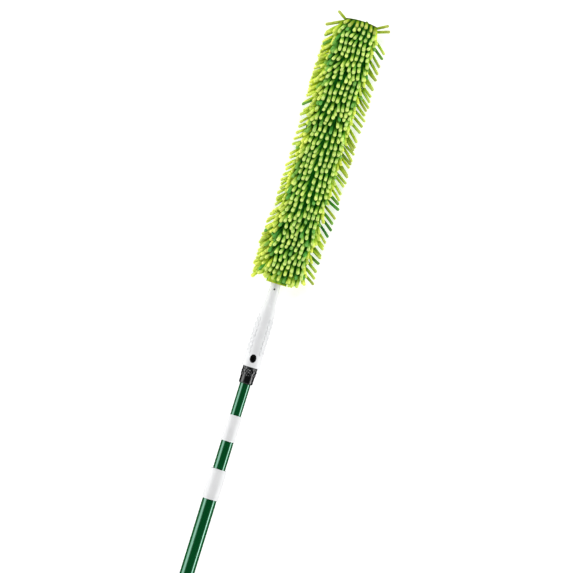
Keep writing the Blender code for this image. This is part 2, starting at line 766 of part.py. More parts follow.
def grow_finger(work, face, direction, draw, height=FINGER_WIDTH):
    """Grows one chenille finger from a face: inset, squared up, then extruded along its lean."""
    bmesh.ops.inset_individual(work, faces=[face], thickness=INSET)
    centre = face.calc_center_median()
    length = FINGER_LENGTH + draw.uniform(-FINGER_LENGTH_SPREAD, 0)
    along = Vector((1, 0, 0))
    along = (along - face.normal * along.dot(face.normal)).normalized()
    across = face.normal.cross(along).normalized()
    for vert in face.verts:
        from_centre = vert.co - centre
        vert.co = centre + along * math.copysign(FINGER_WIDTH / 2, from_centre.dot(along))
        vert.co += across * math.copysign(height / 2, from_centre.dot(across))
    tip = bmesh.ops.extrude_discrete_faces(work, faces=[face])["faces"][0]
    for vert in tip.verts:
        vert.co = centre + (vert.co - centre) * FINGER_TIP_SHARE + direction * length
        vert.co.z = max(vert.co.z, FLOOR_Z)


def fan_of(column):
    """How far a column's fingers turn from upright towards +Y. The first and last are the edges."""
    if column == 0:
        return SIDE_FAN
    if column == FACE_COLUMNS + 1:
        return -SIDE_FAN
    return -FACE_FAN * (2 * (column - 1) / (FACE_COLUMNS - 1) - 1)


def sleeve_panel(name, number, side, look):
    """One face of the sleeve over one link, with its rows of fingers."""
    start = knuckle_x(number - 1) + GAP / 2
    end = knuckle_x(number) - GAP / 2
    outer = section(SLEEVE_WIDTH / 2, SLEEVE_EDGE_THICKNESS / 2, SLEEVE_HALF, side)
    inner_half = CORE_WIDTH / 2 + GAP
    inner = section(inner_half, SLOT_HALF, SLOT_HALF, side)
    loop = outer + inner[::-1]
    draw = random.Random(FINGER_SEED + number * 2 + side)

    def build(work):
        places = [start + (end - start) * i / ROWS_A_LINK for i in range(ROWS_A_LINK + 1)]
        rings, rows = skin(work, [[(x, y, z) for y, z in loop] for x in places])
        close_end(work, rings[0])
        close_end(work, rings[-1])
        work.normal_update()
        bmesh.ops.recalc_face_normals(work, faces=work.faces)
        edge = 0 if side > 0 else 1
        for row_number, row in enumerate(rows):
            for column in range(FACE_COLUMNS + 2):
                on_edge = column in (0, FACE_COLUMNS + 1)
                if on_edge and row_number % 2 != edge:
                    continue
                lean, height = (EDGE_LEAN, EDGE_FINGER_HEIGHT) if on_edge else (FINGER_LEAN, FINGER_WIDTH)
                direction = leaning(fan_of(column), side, lean, draw)
                grow_finger(work, row[column], direction, draw, height)

    return paint(add_object(name, mesh_from(name, build)), look)


def oval(half_width, half_height, count):
    """A closed loop across the head, from +Y over the front."""
    turns = [2 * math.pi * i / count for i in range(count)]
    return [(half_width * math.cos(a), half_height * math.sin(a)) for a in turns]


def full_section(half_width, edge_half, middle_half):
    front = section(half_width, edge_half, middle_half, 1)
    back = [(y, -z) for y, z in front[1:-1]]
    middle = [(y, 0) for y, _ in (front[0], front[-1])]
    return [middle[0]] + front[1:-1] + [middle[1]] + back[::-1]


def sleeve_hem(look):
    """The sleeve's mouth: round the neck at its lower end, as flat as the sleeve at the other."""
    end = SLEEVE_START - GAP / 2
    outer_flat = full_section(SLEEVE_WIDTH / 2, SLEEVE_EDGE_THICKNESS / 2, SLEEVE_HALF)
    inner_flat = full_section(CORE_WIDTH / 2 + GAP, SLOT_HALF, SLOT_HALF)
    count = len(outer_flat)
    neck = NECK_END_RADIUS + GAP
    mouth = oval(HEM_MOUTH_WIDTH / 2, HEM_MOUTH_THICKNESS / 2, count)
    mouth_inner = oval(neck, neck, count)
    middle_x = HEAD_START + NECK_HIDDEN_LENGTH + GAP
    wide = HEM_MIDDLE_SHARE * SLEEVE_WIDTH / 2
    middle = oval(wide + HEM_COVER, neck + HEM_COVER, count)
    middle_inner = oval(wide, neck, count)
    outers = ((HEAD_START, mouth), (middle_x, middle), (end, outer_flat))
    inners = ((HEAD_START, mouth_inner), (middle_x, middle_inner), (end, inner_flat))
    draw = random.Random(FINGER_SEED)

    def build(work):
        outer_rings, rows = skin(work, [[(x, y, z) for y, z in loop] for x, loop in outers])
        inner_rings, _ = skin(work, [[(x, y, z) for y, z in loop] for x, loop in inners])
        for outer, inner in ((outer_rings[0], inner_rings[0]), (outer_rings[-1], inner_rings[-1])):
            for i in range(count):
                j = (i + 1) % count
                work.faces.new((outer[i], outer[j], inner[j], inner[i]))
        bmesh.ops.recalc_face_normals(work, faces=work.faces)
        for column in range(1, FACE_COLUMNS + 1):
            for side, face in ((1, rows[1][column]), (-1, rows[1][-1 - column])):
                grow_finger(work, face, leaning(fan_of(column), side, FINGER_LEAN, draw), draw)

    return paint(add_object("sleeve_hem", mesh_from("sleeve_hem", build)), look)


def tip_closure(look):
    """The sleeve's closed end, drawn flat to a bowed seam, with two fingers at each corner."""
    start = TIP_START + GAP / 2
    wide = full_section(SLEEVE_WIDTH / 2, SLEEVE_EDGE_THICKNESS / 2, SLEEVE_HALF)
    half_seam = SEAM_THICKNESS / 2
    flat = full_section(SEAM_WIDTH / 2, half_seam, half_seam)
    end = start + TIP_LENGTH - SEAM_BOW
    body_end = end - SEAM_THICKNESS
    draw = random.Random(FINGER_SEED + CORE_LINKS)

    def bowed(x, points):
        half = SEAM_WIDTH / 2
        return [(x + SEAM_BOW * (1 - (y / half) ** 2), y, z) for y, z in points]

    def build(work):
        loops = [[(start, y, z) for y, z in wide], bowed(body_end, flat), bowed(end, flat)]
        rings, rows = skin(work, loops)
        work.faces.new(rings[0])
        # The seam's end, as a strip of faces between its front and its back edge
        last = rings[-1]
        half = len(last) // 2
        for i in range(half):
            corners = (last[i], last[i + 1], last[-i - 1], last[-i])
            work.faces.new(dict.fromkeys(corners))
        bmesh.ops.recalc_face_normals(work, faces=work.faces)
        for column, fan in ((0, SIDE_FAN), (FACE_COLUMNS + 1, -SIDE_FAN)):
            forward, square = rows[0][column], rows[0][-1 - column]
            grow_finger(work, forward, leaning(fan, 1, CORNER_LEAN, draw), draw, SEAM_THICKNESS)
            grow_finger(work, square, leaning(fan, -1, 0, draw), draw, SEAM_THICKNESS)

    return paint(add_object("tip_closure", mesh_from("tip_closure", build)), look)


def body_empty(name, x, parent=None):
    marker = add_object(name, None)
    marker.empty_display_size = CAP_RADIUS
    marker.location.x = x
    if parent:
        marker.parent = parent
        marker.location.x -= parent.matrix_world.translation.x
    bpy.context.view_layer.update()
    return marker


def carry(marker, *pieces):
    """Puts pieces under the marker of the body that carries them, where they are."""
    for piece in pieces:
        piece.parent = marker
        piece.location.x -= marker.matrix_world.translation.x


def build_duster():
    empty_the_scene()
    looks = make_materials()
    button_opening()

    lower = body_empty("body_pole_lower", 0)
    mid_lock = body_empty("body_mid_lock", MID_TUBE_START, lower)
    mid = body_empty("body_pole_mid", MID_TUBE_START, mid_lock)
    upper_lock = body_empty("body_upper_lock", UPPER_TUBE_START, mid)
    upper = body_empty("body_pole_upper", UPPER_TUBE_START, upper_lock)
    button = body_empty("body_button", BUTTON_X, upper)
    heads = [upper]
    for number in range(1, CORE_LINKS):
        heads.append(body_empty(f"body_head_{number + 1}", knuckle_x(number), heads[-1]))

    carry(
        lower,
        end_cap(looks["black"]),
        tube("lower_tube", LOWER_TUBE_RADIUS, LOWER_TUBE_START, LOWER_TUBE_LENGTH, looks["lacquer"]),
        ferrule(
            "lower_ferrule",
            LOWER_FERRULE_RADIUS,
            LOWER_FERRULE_LENGTH,
            LOWER_TUBE_RADIUS,
            MID_TUBE_RADIUS,
            LOWER_FERRULE_END,
            looks["white"],
        ),
    )
    carry(mid_lock, lock_ring("mid_lock_ring", LOWER_TUBE_RADIUS, MID_TUBE_START, looks["lock"]))
    carry(
        mid,
        tube("mid_tube", MID_TUBE_RADIUS, MID_TUBE_START, MID_TUBE_LENGTH, looks["lacquer"]),
        ferrule(
            "mid_ferrule",
            MID_FERRULE_RADIUS,
            MID_FERRULE_LENGTH,
            MID_TUBE_RADIUS,
            UPPER_TUBE_RADIUS,
            MID_FERRULE_END,
            looks["white"],
        ),
        lock_plug("mid_lock_plug", LOWER_TUBE_RADIUS, MID_TUBE_RADIUS, MID_TUBE_START, looks["lock"]),
    )
    carry(
        upper_lock,
        lock_ring("upper_lock_ring", MID_TUBE_RADIUS, UPPER_TUBE_START, looks["lock"]),
    )
    carry(
        upper,
        tube("upper_tube", UPPER_TUBE_RADIUS, UPPER_TUBE_START, UPPER_TUBE_LENGTH, looks["lacquer"]),
        lock_plug("upper_lock_plug", MID_TUBE_RADIUS, UPPER_TUBE_RADIUS, UPPER_TUBE_START, looks["lock"]),
        pole_adapter(looks["black"]),
        button_spring(looks["steel"]),
        grip(looks["white"]),
        neck_pin(looks["pin"]),
        sleeve_hem(looks["backing"]),
    )
    carry(button, release_button(looks["black"]))
    for number in range(1, CORE_LINKS + 1):
        carry(
            heads[number - 1],
            core_link(number, looks["core"]),
            sleeve_panel(f"sleeve_front_{number}", number, 1, looks["lime"]),
            sleeve_panel(f"sleeve_back_{number}", number, -1, looks["lime"]),
        )
    carry(heads[-1], tip_closure(looks["backing"]))
    bpy.context.view_layer.update()


build_duster()
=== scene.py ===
"""Looks of the microfiber duster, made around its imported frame.

Lengths are in metres. The pole's axis is the X axis, the head's tip points to +X, and the wide face
with the release button looks to +Z. The photograph's left is +Y here.
"""

import json
import math
import random

import bmesh
import bpy
import numpy as np
from mathutils import Matrix, Vector, noise


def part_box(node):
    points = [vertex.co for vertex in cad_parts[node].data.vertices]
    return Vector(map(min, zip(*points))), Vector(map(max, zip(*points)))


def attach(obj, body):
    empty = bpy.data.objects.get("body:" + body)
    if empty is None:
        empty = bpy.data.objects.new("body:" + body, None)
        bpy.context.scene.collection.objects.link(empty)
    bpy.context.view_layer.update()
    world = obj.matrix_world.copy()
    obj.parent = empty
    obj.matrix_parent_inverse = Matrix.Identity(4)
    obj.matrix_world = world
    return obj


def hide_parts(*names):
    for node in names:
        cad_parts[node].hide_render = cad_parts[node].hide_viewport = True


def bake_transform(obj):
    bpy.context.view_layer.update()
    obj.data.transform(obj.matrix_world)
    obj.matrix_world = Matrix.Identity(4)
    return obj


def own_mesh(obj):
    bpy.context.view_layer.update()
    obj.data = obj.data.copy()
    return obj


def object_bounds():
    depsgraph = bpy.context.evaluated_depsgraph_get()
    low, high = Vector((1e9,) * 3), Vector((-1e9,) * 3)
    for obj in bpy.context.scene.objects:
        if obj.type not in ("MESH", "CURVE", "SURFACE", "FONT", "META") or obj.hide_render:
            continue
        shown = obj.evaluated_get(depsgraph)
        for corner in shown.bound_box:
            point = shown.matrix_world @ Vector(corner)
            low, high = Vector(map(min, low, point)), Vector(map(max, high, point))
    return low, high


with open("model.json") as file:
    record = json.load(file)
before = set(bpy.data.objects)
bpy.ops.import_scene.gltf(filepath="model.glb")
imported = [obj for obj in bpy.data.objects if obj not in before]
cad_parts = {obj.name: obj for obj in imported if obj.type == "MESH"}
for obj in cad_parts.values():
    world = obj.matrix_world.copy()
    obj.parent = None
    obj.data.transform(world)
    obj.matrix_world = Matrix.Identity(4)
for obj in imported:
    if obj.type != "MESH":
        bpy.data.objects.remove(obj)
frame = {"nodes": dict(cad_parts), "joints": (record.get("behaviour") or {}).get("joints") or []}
cad_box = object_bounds()

MM = 0.001
HAIR = 0.01 * MM
TURN = 2 * math.pi
SHARP_ANGLE = math.radians(32)
FLAT_ANGLE = math.radians(150)
CORNER_STEPS = 4
TUBE_END = 0.35

JOINTS = {joint["name"]: joint for joint in frame["joints"]}


# Helpers for meshes


def ease(value, low, high):
    """A smooth step from 0 at `low` to 1 at `high`."""
    share = min(max((value - low) / (high - low), 0), 1)
    return share * share * (3 - 2 * share)


def circle(count):
    """(cosine, sine) at even steps round a circle."""
    return [(math.cos(TURN * i / count), math.sin(TURN * i / count)) for i in range(count)]


def new_object(name, data):
    thing = bpy.data.objects.new(name, data)
    bpy.context.scene.collection.objects.link(thing)
    return thing


def add_piece(name, mesh, look, body=None):
    """A new object with this mesh and material. With a body, it rides on it."""
    piece = new_object(name, mesh)
    mesh.materials.clear()
    mesh.materials.append(look)
    if body:
        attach(piece, body)
    return piece


def new_mesh(name, verts, faces):
    mesh = bpy.data.meshes.new(name)
    mesh.from_pydata(verts, [], faces)
    return mesh


def worked(mesh, work):
    """Writes the bmesh into the mesh."""
    work.to_mesh(mesh)
    work.free()
    return mesh


def tidy_normals(mesh):
    work = bmesh.new()
    work.from_mesh(mesh)
    bmesh.ops.recalc_face_normals(work, faces=work.faces)
    worked(mesh, work)
    mesh.shade_smooth()
    mesh.set_sharp_from_angle(angle=SHARP_ANGLE)
    return mesh


def grid_mesh(name, rings, loop=False):
    """A skin over rings of as many points each: capped at both ends, or led back to the first."""
    count = len(rings[0])
    verts = [point for ring in rings for point in ring]
    last = len(verts) - count
    faces = []
    for a in range(0, len(verts) if loop else last, count):
        b = (a + count) % len(verts)
        for i in range(count):
            k = (i + 1) % count
            faces.append((a + i, a + k, b + k, b + i))
    if not loop:
        faces.append(tuple(reversed(range(count))))
        faces.append(tuple(last + i for i in range(count)))
    return tidy_normals(new_mesh(name, verts, faces))


def lathe(name, profile, steps=128, swell=None):
    """A ring turned round the X axis from a closed loop of (x, r). `swell` adds to r."""
    rings = []
    for x, r in profile:
        ring = []
        for i in range(steps):
            a = TURN * i / steps
            radius = r + (swell(x, r, a) if swell else 0)
            ring.append((x, radius * math.sin(a), radius * math.cos(a)))
        rings.append(ring)
    return grid_mesh(name, rings, loop=True)


def rounded(profile, radius):
    """The profile, a closed loop of (x, r), with its corners rounded, but for those on the axis."""
    points = []
    count = len(profile)
    for i, corner in enumerate(profile):
        here = Vector(corner)
        before = Vector(profile[i - 1]) - here
        after = Vector(profile[(i + 1) % count]) - here
        turn = before.angle(after, math.pi)
        reach = min(radius, before.length * 0.45, after.length * 0.45)
        if turn > FLAT_ANGLE or reach <= 0 or corner[1] < 10 * HAIR:
            points.append(tuple(here))
            continue
        start = here + before.normalized() * reach
        end = here + after.normalized() * reach
        for k in range(CORNER_STEPS + 1):
            share = k / CORNER_STEPS
            points.append(tuple(start.lerp(here, share).lerp(here.lerp(end, share), share)))
    return points


def store(mesh, name, numbers):
    """Keeps a number for each vertex, for the materials."""
    layer = mesh.attributes.new(name, "FLOAT", "POINT")
    layer.data.foreach_set("value", np.array(numbers, np.float32))


def cylinder_mesh(name, x, radius, bottom, top, stretch=1.0, steps=64):
    """An upright cylinder at x, stretched along X, for cutting."""
    work = bmesh.new()
    bmesh.ops.create_cone(
        work, cap_ends=True, segments=steps, radius1=radius, radius2=radius, depth=top - bottom
    )
    for vert in work.verts:
        vert.co.x = vert.co.x * stretch + x
        vert.co.z += (top + bottom) / 2
    return worked(bpy.data.meshes.new(name), work)


def box_mesh(name, low, high):
    work = bmesh.new()
    bmesh.ops.create_cube(work, size=1)
    for vert in work.verts:
        vert.co = [(low[i] + high[i]) / 2 + vert.co[i] * (high[i] - low[i]) for i in range(3)]
    return worked(bpy.data.meshes.new(name), work)


def cut(mesh, cutters):
    """The mesh with these meshes taken out of it."""
    whole = new_object(mesh.name + "_whole", mesh)
    tools = []
    for cutter in cutters:
        tools.append(new_object(cutter.name, cutter))
        change = whole.modifiers.new(cutter.name, "BOOLEAN")
        change.operation = "DIFFERENCE"
        change.solver = "EXACT"
        change.object = tools[-1]
    graph = bpy.context.evaluated_depsgraph_get()
    graph.update()
    result = bpy.data.meshes.new_from_object(whole.evaluated_get(graph))
    for thing in [whole, *tools]:
        bpy.data.objects.remove(thing)
    return tidy_normals(result)


def tube_along(points, radius, sides):
    """Rings round a line of points, drawn in at both ends."""
    rings = []
    for i, point in enumerate(points):
        before = points[max(i - 1, 0)]
        after = points[min(i + 1, len(points) - 1)]
        ahead = (after - before).normalized()
        across = ahead.cross(Vector((0, 0, 1))).normalized()
        up = across.cross(ahead)
        size = radius * (TUBE_END if i in (0, len(points) - 1) else 1)
        ring = [point + across * (size * c) + up * (size * s) for c, s in circle(sides)]
        rings.append([tuple(spot) for spot in ring])
    return rings


def monotone_curve(stations):
    """A smooth curve through (x, y) stations that doesn't overshoot them."""
    xs = [x for x, _ in stations]
    ys = [y for _, y in stations]
    slopes = [(ys[i + 1] - ys[i]) / (xs[i + 1] - xs[i]) for i in range(len(xs) - 1)]
    ends = [slopes[0]]
    for a, b in zip(slopes, slopes[1:]):
        ends.append(0 if a * b <= 0 else 2 * a * b / (a + b))
    ends.append(slopes[-1])

    def read(x):
        i = 0
        while i < len(xs) - 2 and x > xs[i + 1]:
            i += 1
        width = xs[i + 1] - xs[i]
        u = min(max((x - xs[i]) / width, 0), 1)
        a = (1 + 2 * u) * (1 - u) ** 2
        b = u * (1 - u) ** 2
        c = u * u * (3 - 2 * u)
        d = u * u * (u - 1)
        return a * ys[i] + b * width * ends[i] + c * ys[i + 1] + d * width * ends[i + 1]

    return read


def span(node):
    """(start, end) of a CAD node along X."""
    low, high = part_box(node)
    return low.x, high.x


def outer_radius(node):
    low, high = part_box(node)
    return (high.y - low.y) / 2


# Materials


class Look:
    """A node material that is put together step by step."""

    def __init__(self, name, roughness=0.5, metallic=0.0):
        self.made = bpy.data.materials.new(name)
        self.made.use_nodes = True
        self.tree = self.made.node_tree
        self.shader = self.tree.nodes["Principled BSDF"]
        self.fill({"Roughness": roughness, "Metallic": metallic})
        self.place = self.node("TexCoord")["Object"]

    def fill(self, inputs, node=None):
        """Sets inputs of the shader, or of another node, or links them to outputs."""
        node = node or self.shader
        for key, value in inputs.items():
            if isinstance(value, bpy.types.NodeSocket):
                self.tree.links.new(value, node.inputs[key])
            else:
                node.inputs[key].default_value = value

    def node(self, kind, inputs=None, **settings):
        """The outputs of a new node."""
        node = self.tree.nodes.new("ShaderNode" + kind)
        for key, value in settings.items():
            setattr(node, key, value)
        self.fill(inputs or {}, node)
        return node.outputs

    def stretched(self, scale):
        """Object coordinates, scaled along each axis."""
        return self.node("Mapping", {"Vector": self.place, "Scale": scale})["Vector"]

    def noise(self, scale, detail=3.0, rough=0.55, place=None):
        inputs = {"Scale": scale, "Detail": detail, "Roughness": rough}
        return self.node("TexNoise", {"Vector": place or self.place, **inputs})["Fac"]

    def ramp(self, source, *stops):
        """Colours, or grey values, at places along a value."""
        node = self.tree.nodes.new("ShaderNodeValToRGB")
        while len(node.color_ramp.elements) < len(stops):
            node.color_ramp.elements.new(0.5)
        for element, (place, colour) in zip(node.color_ramp.elements, stops):
            element.position = place
            shade = (colour, colour, colour) if isinstance(colour, float) else colour
            element.color = (*shade, 1)
        self.fill({"Fac": source}, node)
        return node.outputs["Color"]

    def mottled(self, scale, dark, light, detail=3.0):
        """Two shades that blend into each other."""
        return self.ramp(self.noise(scale, detail), (0.3, dark), (0.7, light))

    def mix(self, factor, one, two, mode="MIX"):
        return self.node("Mix", {0: factor, 6: one, 7: two}, data_type="RGBA", blend_type=mode)[2]

    def add(self, one, two, share):
        """one + share * two."""
        return self.node("Math", {0: two, 1: share, 2: one}, operation="MULTIPLY_ADD")[0]

    def scaled(self, source, share):
        return self.node("Math", {0: source, 1: share}, operation="MULTIPLY")[0]

    def attribute(self, name):
        return self.node("Attribute", attribute_name=name)["Fac"]

    def edge_gloss(self, start, end):
        """Gloss that fades towards the outline, as under lights with dark flags beside them."""
        facing = self.node("LayerWeight")["Facing"]
        self.fill({"Specular IOR Level": self.ramp(facing, (start, 0.5), (end, 0.0))})

    def bump(self, height, distance, strength=1.0):
        inputs = {"Distance": distance, "Strength": strength, "Height": height}
        self.fill({"Normal": self.node("Bump", inputs)["Normal"]})

    def looped(self, sheen, spread, tint, gloss, loops, depth, strength):
        """Fabric: a tinted sheen, hardly any gloss, and bump in small loops."""
        self.fill({"Sheen Weight": sheen, "Sheen Roughness": spread, "Sheen Tint": (*tint, 1)})
        self.fill({"Specular IOR Level": gloss})
        cells = {"Vector": self.place, "Scale": loops}
        self.bump(self.node("TexVoronoi", cells, feature="SMOOTH_F1")["Distance"], depth, strength)


def lacquer_look():
    """Green lacquer on steel tube, with faint streaks along it."""
    look = Look("green_lacquer")
    streaks = look.noise(60, 4.0, 0.6, look.stretched((0.25, 6, 6)))
    look.fill(
        {
            "Base Color": look.mottled(12, (0.0009, 0.064, 0.0135), (0.0012, 0.078, 0.0175), 2.0),
            "Roughness": look.ramp(streaks, (0.35, 0.05), (0.75, 0.09)),
            "Specular Tint": (0.54, 1.0, 0.80, 1),
            "IOR": 2.38,
        }
    )
    look.edge_gloss(0.30, 0.39)
    look.bump(look.noise(420, 2.0), 0.02 * MM)
    return look.made


def plastic(name, roughness, grain, ior=1.5, edge=(0.32, 0.55)):
    """Moulded plastic: a fine grain, and roughness that varies with handling."""
    look = Look(name, roughness)
    smudges = look.ramp(look.noise(60, 4.0, 0.6), (0.3, roughness - 0.05), (0.7, roughness + 0.05))
    look.fill({"Roughness": smudges, "IOR": ior})
    look.edge_gloss(*edge)
    look.bump(look.noise(1400, 2.0), grain)
    return look


# Key, name, dark and light shade, roughness, grain and index of refraction
PLASTICS = (
    ("white", "white_plastic", (0.712, 0.717, 0.722), (0.748, 0.753, 0.758), 0.40, 0.03, 1.5),
    ("black", "black_plastic", (0.0025, 0.003, 0.0035), (0.005, 0.0055, 0.006), 0.24, 0.03, 1.8),
    ("button", "button_plastic", (0.001, 0.001, 0.001), (0.002, 0.002, 0.002), 0.10, 0.02, 1.33),
    ("lock", "lock_plastic", (0.52, 0.50, 0.45), (0.60, 0.58, 0.52), 0.48, 0.03, 1.5),
    ("core", "core_plastic", (0.62, 0.63, 0.62), (0.70, 0.71, 0.70), 0.5, 0.03, 1.5),
)

# Key, name, dark and light grey, and roughness
STEELS = (
    ("spring", "spring_steel", 0.38, 0.52, 0.28),
    ("pin", "dark_steel", 0.012, 0.030, 0.40),
)


def grip_look():
    """White plastic, with painted shade: a little darker in the grooves round the grip's spots."""
    look = plastic("grip_plastic", 0.40, 0.03 * MM)
    plain = look.mottled(70, (0.70, 0.708, 0.715), (0.752, 0.757, 0.762))
    # painted shade: a darker grey for the grooves round the spots
    groove_painted_shade = look.mottled(90, (0.50, 0.51, 0.52), (0.60, 0.61, 0.62))
    look.fill({"Base Color": look.mix(look.attribute("moat"), plain, groove_painted_shade)})
    return look.made


def collar_look():
    """Black plastic, glossy, with a painted highlight: lighter grey on the tops of its lugs."""
    look = plastic("collar_plastic", 0.3, 0.02 * MM, 1.75, (0.28, 0.42))
    height = look.attribute("knurl")
    smooth = look.mottled(35, (0.0012, 0.0015, 0.002), (0.003, 0.0035, 0.004))
    # painted highlight: a lighter grey laid on the lug tops
    lug_painted_highlight = look.mottled(220, (0.020, 0.022, 0.024), (0.080, 0.084, 0.090))
    lug_highlight_share = look.ramp(height, (0.80, 0.0), (0.99, 1.0))
    look.fill(
        {
            "Base Color": look.mix(lug_highlight_share, smooth, lug_painted_highlight),
            "Roughness": look.ramp(height, (0.0, 0.22), (1.0, 0.10)),
        }
    )
    return look.made


def knit_look(name, dark, light, depth):
    """Looped knit with mottled colour."""
    look = Look(name, 0.92)
    look.fill({"Base Color": look.ramp(look.noise(140, 4.0, 0.6), (0.35, dark), (0.65, light))})
    look.looped(0.2, 0.5, (0.5, 0.9, 0.2), 0.02, 700, depth, 0.8)
    return look.made


def hem_look():
    """The cuff's knit, mottled, with painted shade: dark green towards -Y and at both sides, lime
    towards +Y, and a yellow rim.
    """
    look = Look("hem_fabric", 0.92)
    tone = look.add(look.attribute("tone"), look.noise(160, 4.0, 0.65), 0.7)
    cloth = look.ramp(
        tone,
        (0.40, (0.022, 0.160, 0.007)),
        (0.80, (0.175, 0.430, 0.036)),
        (1.0, (0.460, 0.620, 0.050)),
    )
    rim = look.ramp(look.noise(220), (0.35, (0.36, 0.44, 0.010)), (0.65, (0.56, 0.64, 0.035)))
    look.fill({"Base Color": look.mix(look.attribute("rim"), cloth, rim)})
    look.looped(0.22, 0.5, (0.62, 1.0, 0.20), 0.12, 700, 0.5 * MM, 0.8)
    return look.made


def chenille_look():
    """Chenille, speckled, with a looped pile and a soft sheen. Painted shade and highlight: darker
    green towards the roots and lighter at the tips, over the fingers' own lime, yellow and dark
    green.
    """
    look = Look("chenille", 0.9)
    blotch = look.add(look.noise(420, 2.0, 0.7), look.noise(190, 3.0, 0.6), 0.5)
    # painted shade and highlight: each finger's colour runs from dark at its root to light at its
    # tip
    along = look.add(look.scaled(blotch, 0.5), look.attribute("along"), 0.62)
    lime = look.ramp(
        along,
        (0.42, (0.005, 0.150, 0.001)),
        (0.58, (0.078, 0.430, 0.026)),
        (0.74, (0.285, 0.665, 0.092)),
        (0.85, (0.485, 0.775, 0.150)),
        (0.94, (0.720, 0.910, 0.270)),
    )
    yellow = look.ramp(
        along,
        (0.42, (0.115, 0.205, 0.003)),
        (0.60, (0.320, 0.465, 0.010)),
        (0.78, (0.600, 0.720, 0.028)),
        (0.94, (0.860, 0.930, 0.165)),
    )
    green = look.ramp(
        along,
        (0.42, (0.003, 0.105, 0.006)),
        (0.75, (0.018, 0.245, 0.026)),
        (0.98, (0.120, 0.420, 0.080)),
    )
    tint = look.ramp(
        look.attribute("tint"),
        (0.0, (0.50, 0.50, 0.62)),
        (0.35, (0.84, 0.88, 0.90)),
        (1.0, (1.08, 1.05, 1.0)),
    )
    coloured = look.mix(look.attribute("yellowness"), lime, yellow)
    coloured = look.mix(look.attribute("greenness"), coloured, green)
    look.fill({"Base Color": look.mix(1.0, coloured, tint, "MULTIPLY")})
    look.looped(0.16, 0.45, (0.62, 1.0, 0.12), 0.02, 800, 0.55 * MM, 0.7)
    return look.made


def make_looks():
    looks = {
        "lacquer": lacquer_look(),
        "grip": grip_look(),
        "collar": collar_look(),
        "hem": hem_look(),
        "chenille": chenille_look(),
        "backing": knit_look(
            "green_backing", (0.004, 0.092, 0.006), (0.012, 0.170, 0.012), 0.5 * MM
        ),
        "thread": knit_look("seam_thread", (0.050, 0.041, 0.006), (0.11, 0.095, 0.015), 0.15 * MM),
    }
    for key, name, dark, light, roughness, grain, ior in PLASTICS:
        look = plastic(name, roughness, grain * MM, ior)
        look.fill({"Base Color": look.mottled(35, dark, light)})
        looks[key] = look.made
    for key, name, dark, light, roughness in STEELS:
        look = Look(name, roughness, 1.0)
        look.fill({"Base Color": look.mottled(300, dark, light)})
        look.bump(look.noise(900, 3.0, 0.6, look.stretched((1, 1, 8))), 0.02 * MM)
        looks[key] = look.made
    return looks


# The pole

TUBE_WALL = 0.8 * MM
TUBE_EDGE = 0.25 * MM
GAP = 0.3 * MM


def make_tube(node, body, looks):
    start, end = span(node)
    radius = outer_radius(node)
    bore = radius - TUBE_WALL
    profile = rounded([(start, radius), (end, radius), (end, bore), (start, bore)], TUBE_EDGE)
    piece = add_piece(node + "_lacquered", lathe(node, profile, 96), looks["lacquer"], body)
    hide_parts(node)


FERRULE_EDGE = 0.7 * MM
FERRULE_LIP = 3 * MM
FERRULE_GROOVE = 0.25 * MM
FERRULE_GROOVE_AT = 4.2 * MM
FERRULE_GROOVE_HALF = 0.5 * MM


def make_ferrule(node, tube_node, inner_node, body, looks):
    """A guide sleeve with soft edges, a hairline groove near its mouth and an inner lip."""
    start, end = span(node)
    radius = outer_radius(node)
    bore = outer_radius(tube_node) + GAP
    throat = outer_radius(inner_node) + GAP
    lip = end - FERRULE_LIP
    groove = end - FERRULE_GROOVE_AT
    outline = [
        (start, radius),
        (groove - FERRULE_GROOVE_HALF, radius),
        (groove, radius - FERRULE_GROOVE),
        (groove + FERRULE_GROOVE_HALF, radius),
        (end, radius),
        (end, throat),
        (lip, throat),
        (lip, bore),
        (start, bore),
    ]
    mesh = lathe(node, rounded(outline, FERRULE_EDGE))
    piece = add_piece(node + "_moulded", mesh, looks["white"], body)
    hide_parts(node)


CAP_FLOOR = 25 * MM
CAP_SKIRT_END = 40 * MM
CAP_PLUG_END = 47 * MM
CAP_LUG_HALF = 9 * MM
CAP_LUG_END = 22 * MM
CAP_EDGE = 1.4 * MM
HANG_HOLE_AT = 11 * MM
HANG_HOLE_RADIUS = 4 * MM


def make_end_cap(looks):
    radius = outer_radius("end_cap")
    skirt_bore = outer_radius("lower_tube") + GAP
    plug = outer_radius("lower_tube") - TUBE_WALL - GAP
    outline = [
        (0, HAIR),
        (0, radius),
        (CAP_SKIRT_END, radius),
        (CAP_SKIRT_END, skirt_bore),
        (CAP_FLOOR, skirt_bore),
        (CAP_FLOOR, plug),
        (CAP_PLUG_END, plug),
        (CAP_PLUG_END, HAIR),
    ]
    reach = radius * 1.2
    cutters = [
        box_mesh("flat_front", (-reach, -reach, CAP_LUG_HALF), (CAP_LUG_END, reach, reach)),
        box_mesh("flat_back", (-reach, -reach, -reach), (CAP_LUG_END, reach, -CAP_LUG_HALF)),
        cylinder_mesh("hang_hole", HANG_HOLE_AT, HANG_HOLE_RADIUS, -reach, reach),
    ]
    mesh = cut(lathe("end_cap", rounded(outline, CAP_EDGE), 96), cutters)
    piece = add_piece("end_cap_moulded", mesh, looks["black"], "pole_lower")
    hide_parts("end_cap")


# Collar, grip and button

COLLAR_LENGTH = 29.7 * MM
COLLAR_RADIUS = 12.25 * MM
COLLAR_FOOT = 1.2 * MM
KNURL_LENGTH = 15.5 * MM
KNURL_HEIGHT = 1.2 * MM
KNURL_ROWS = 3
KNURL_LUGS = 8
KNURL_RINGS = 42
LUG_FULLNESS = 0.3
SHANK_RADIUS = 11.5 * MM
SHANK_WALL = 2.2 * MM
SHANK_LENGTH = 60 * MM
SOCKET_DEPTH = 22 * MM
SOCKET_WEB = 4 * MM
BUTTON_WIDTH = 10.7 * MM
BUTTON_LENGTH = 14.6 * MM
GRIP_START, GRIP_END = span("grip")
BUTTON_X = GRIP_START + 15.4 * MM


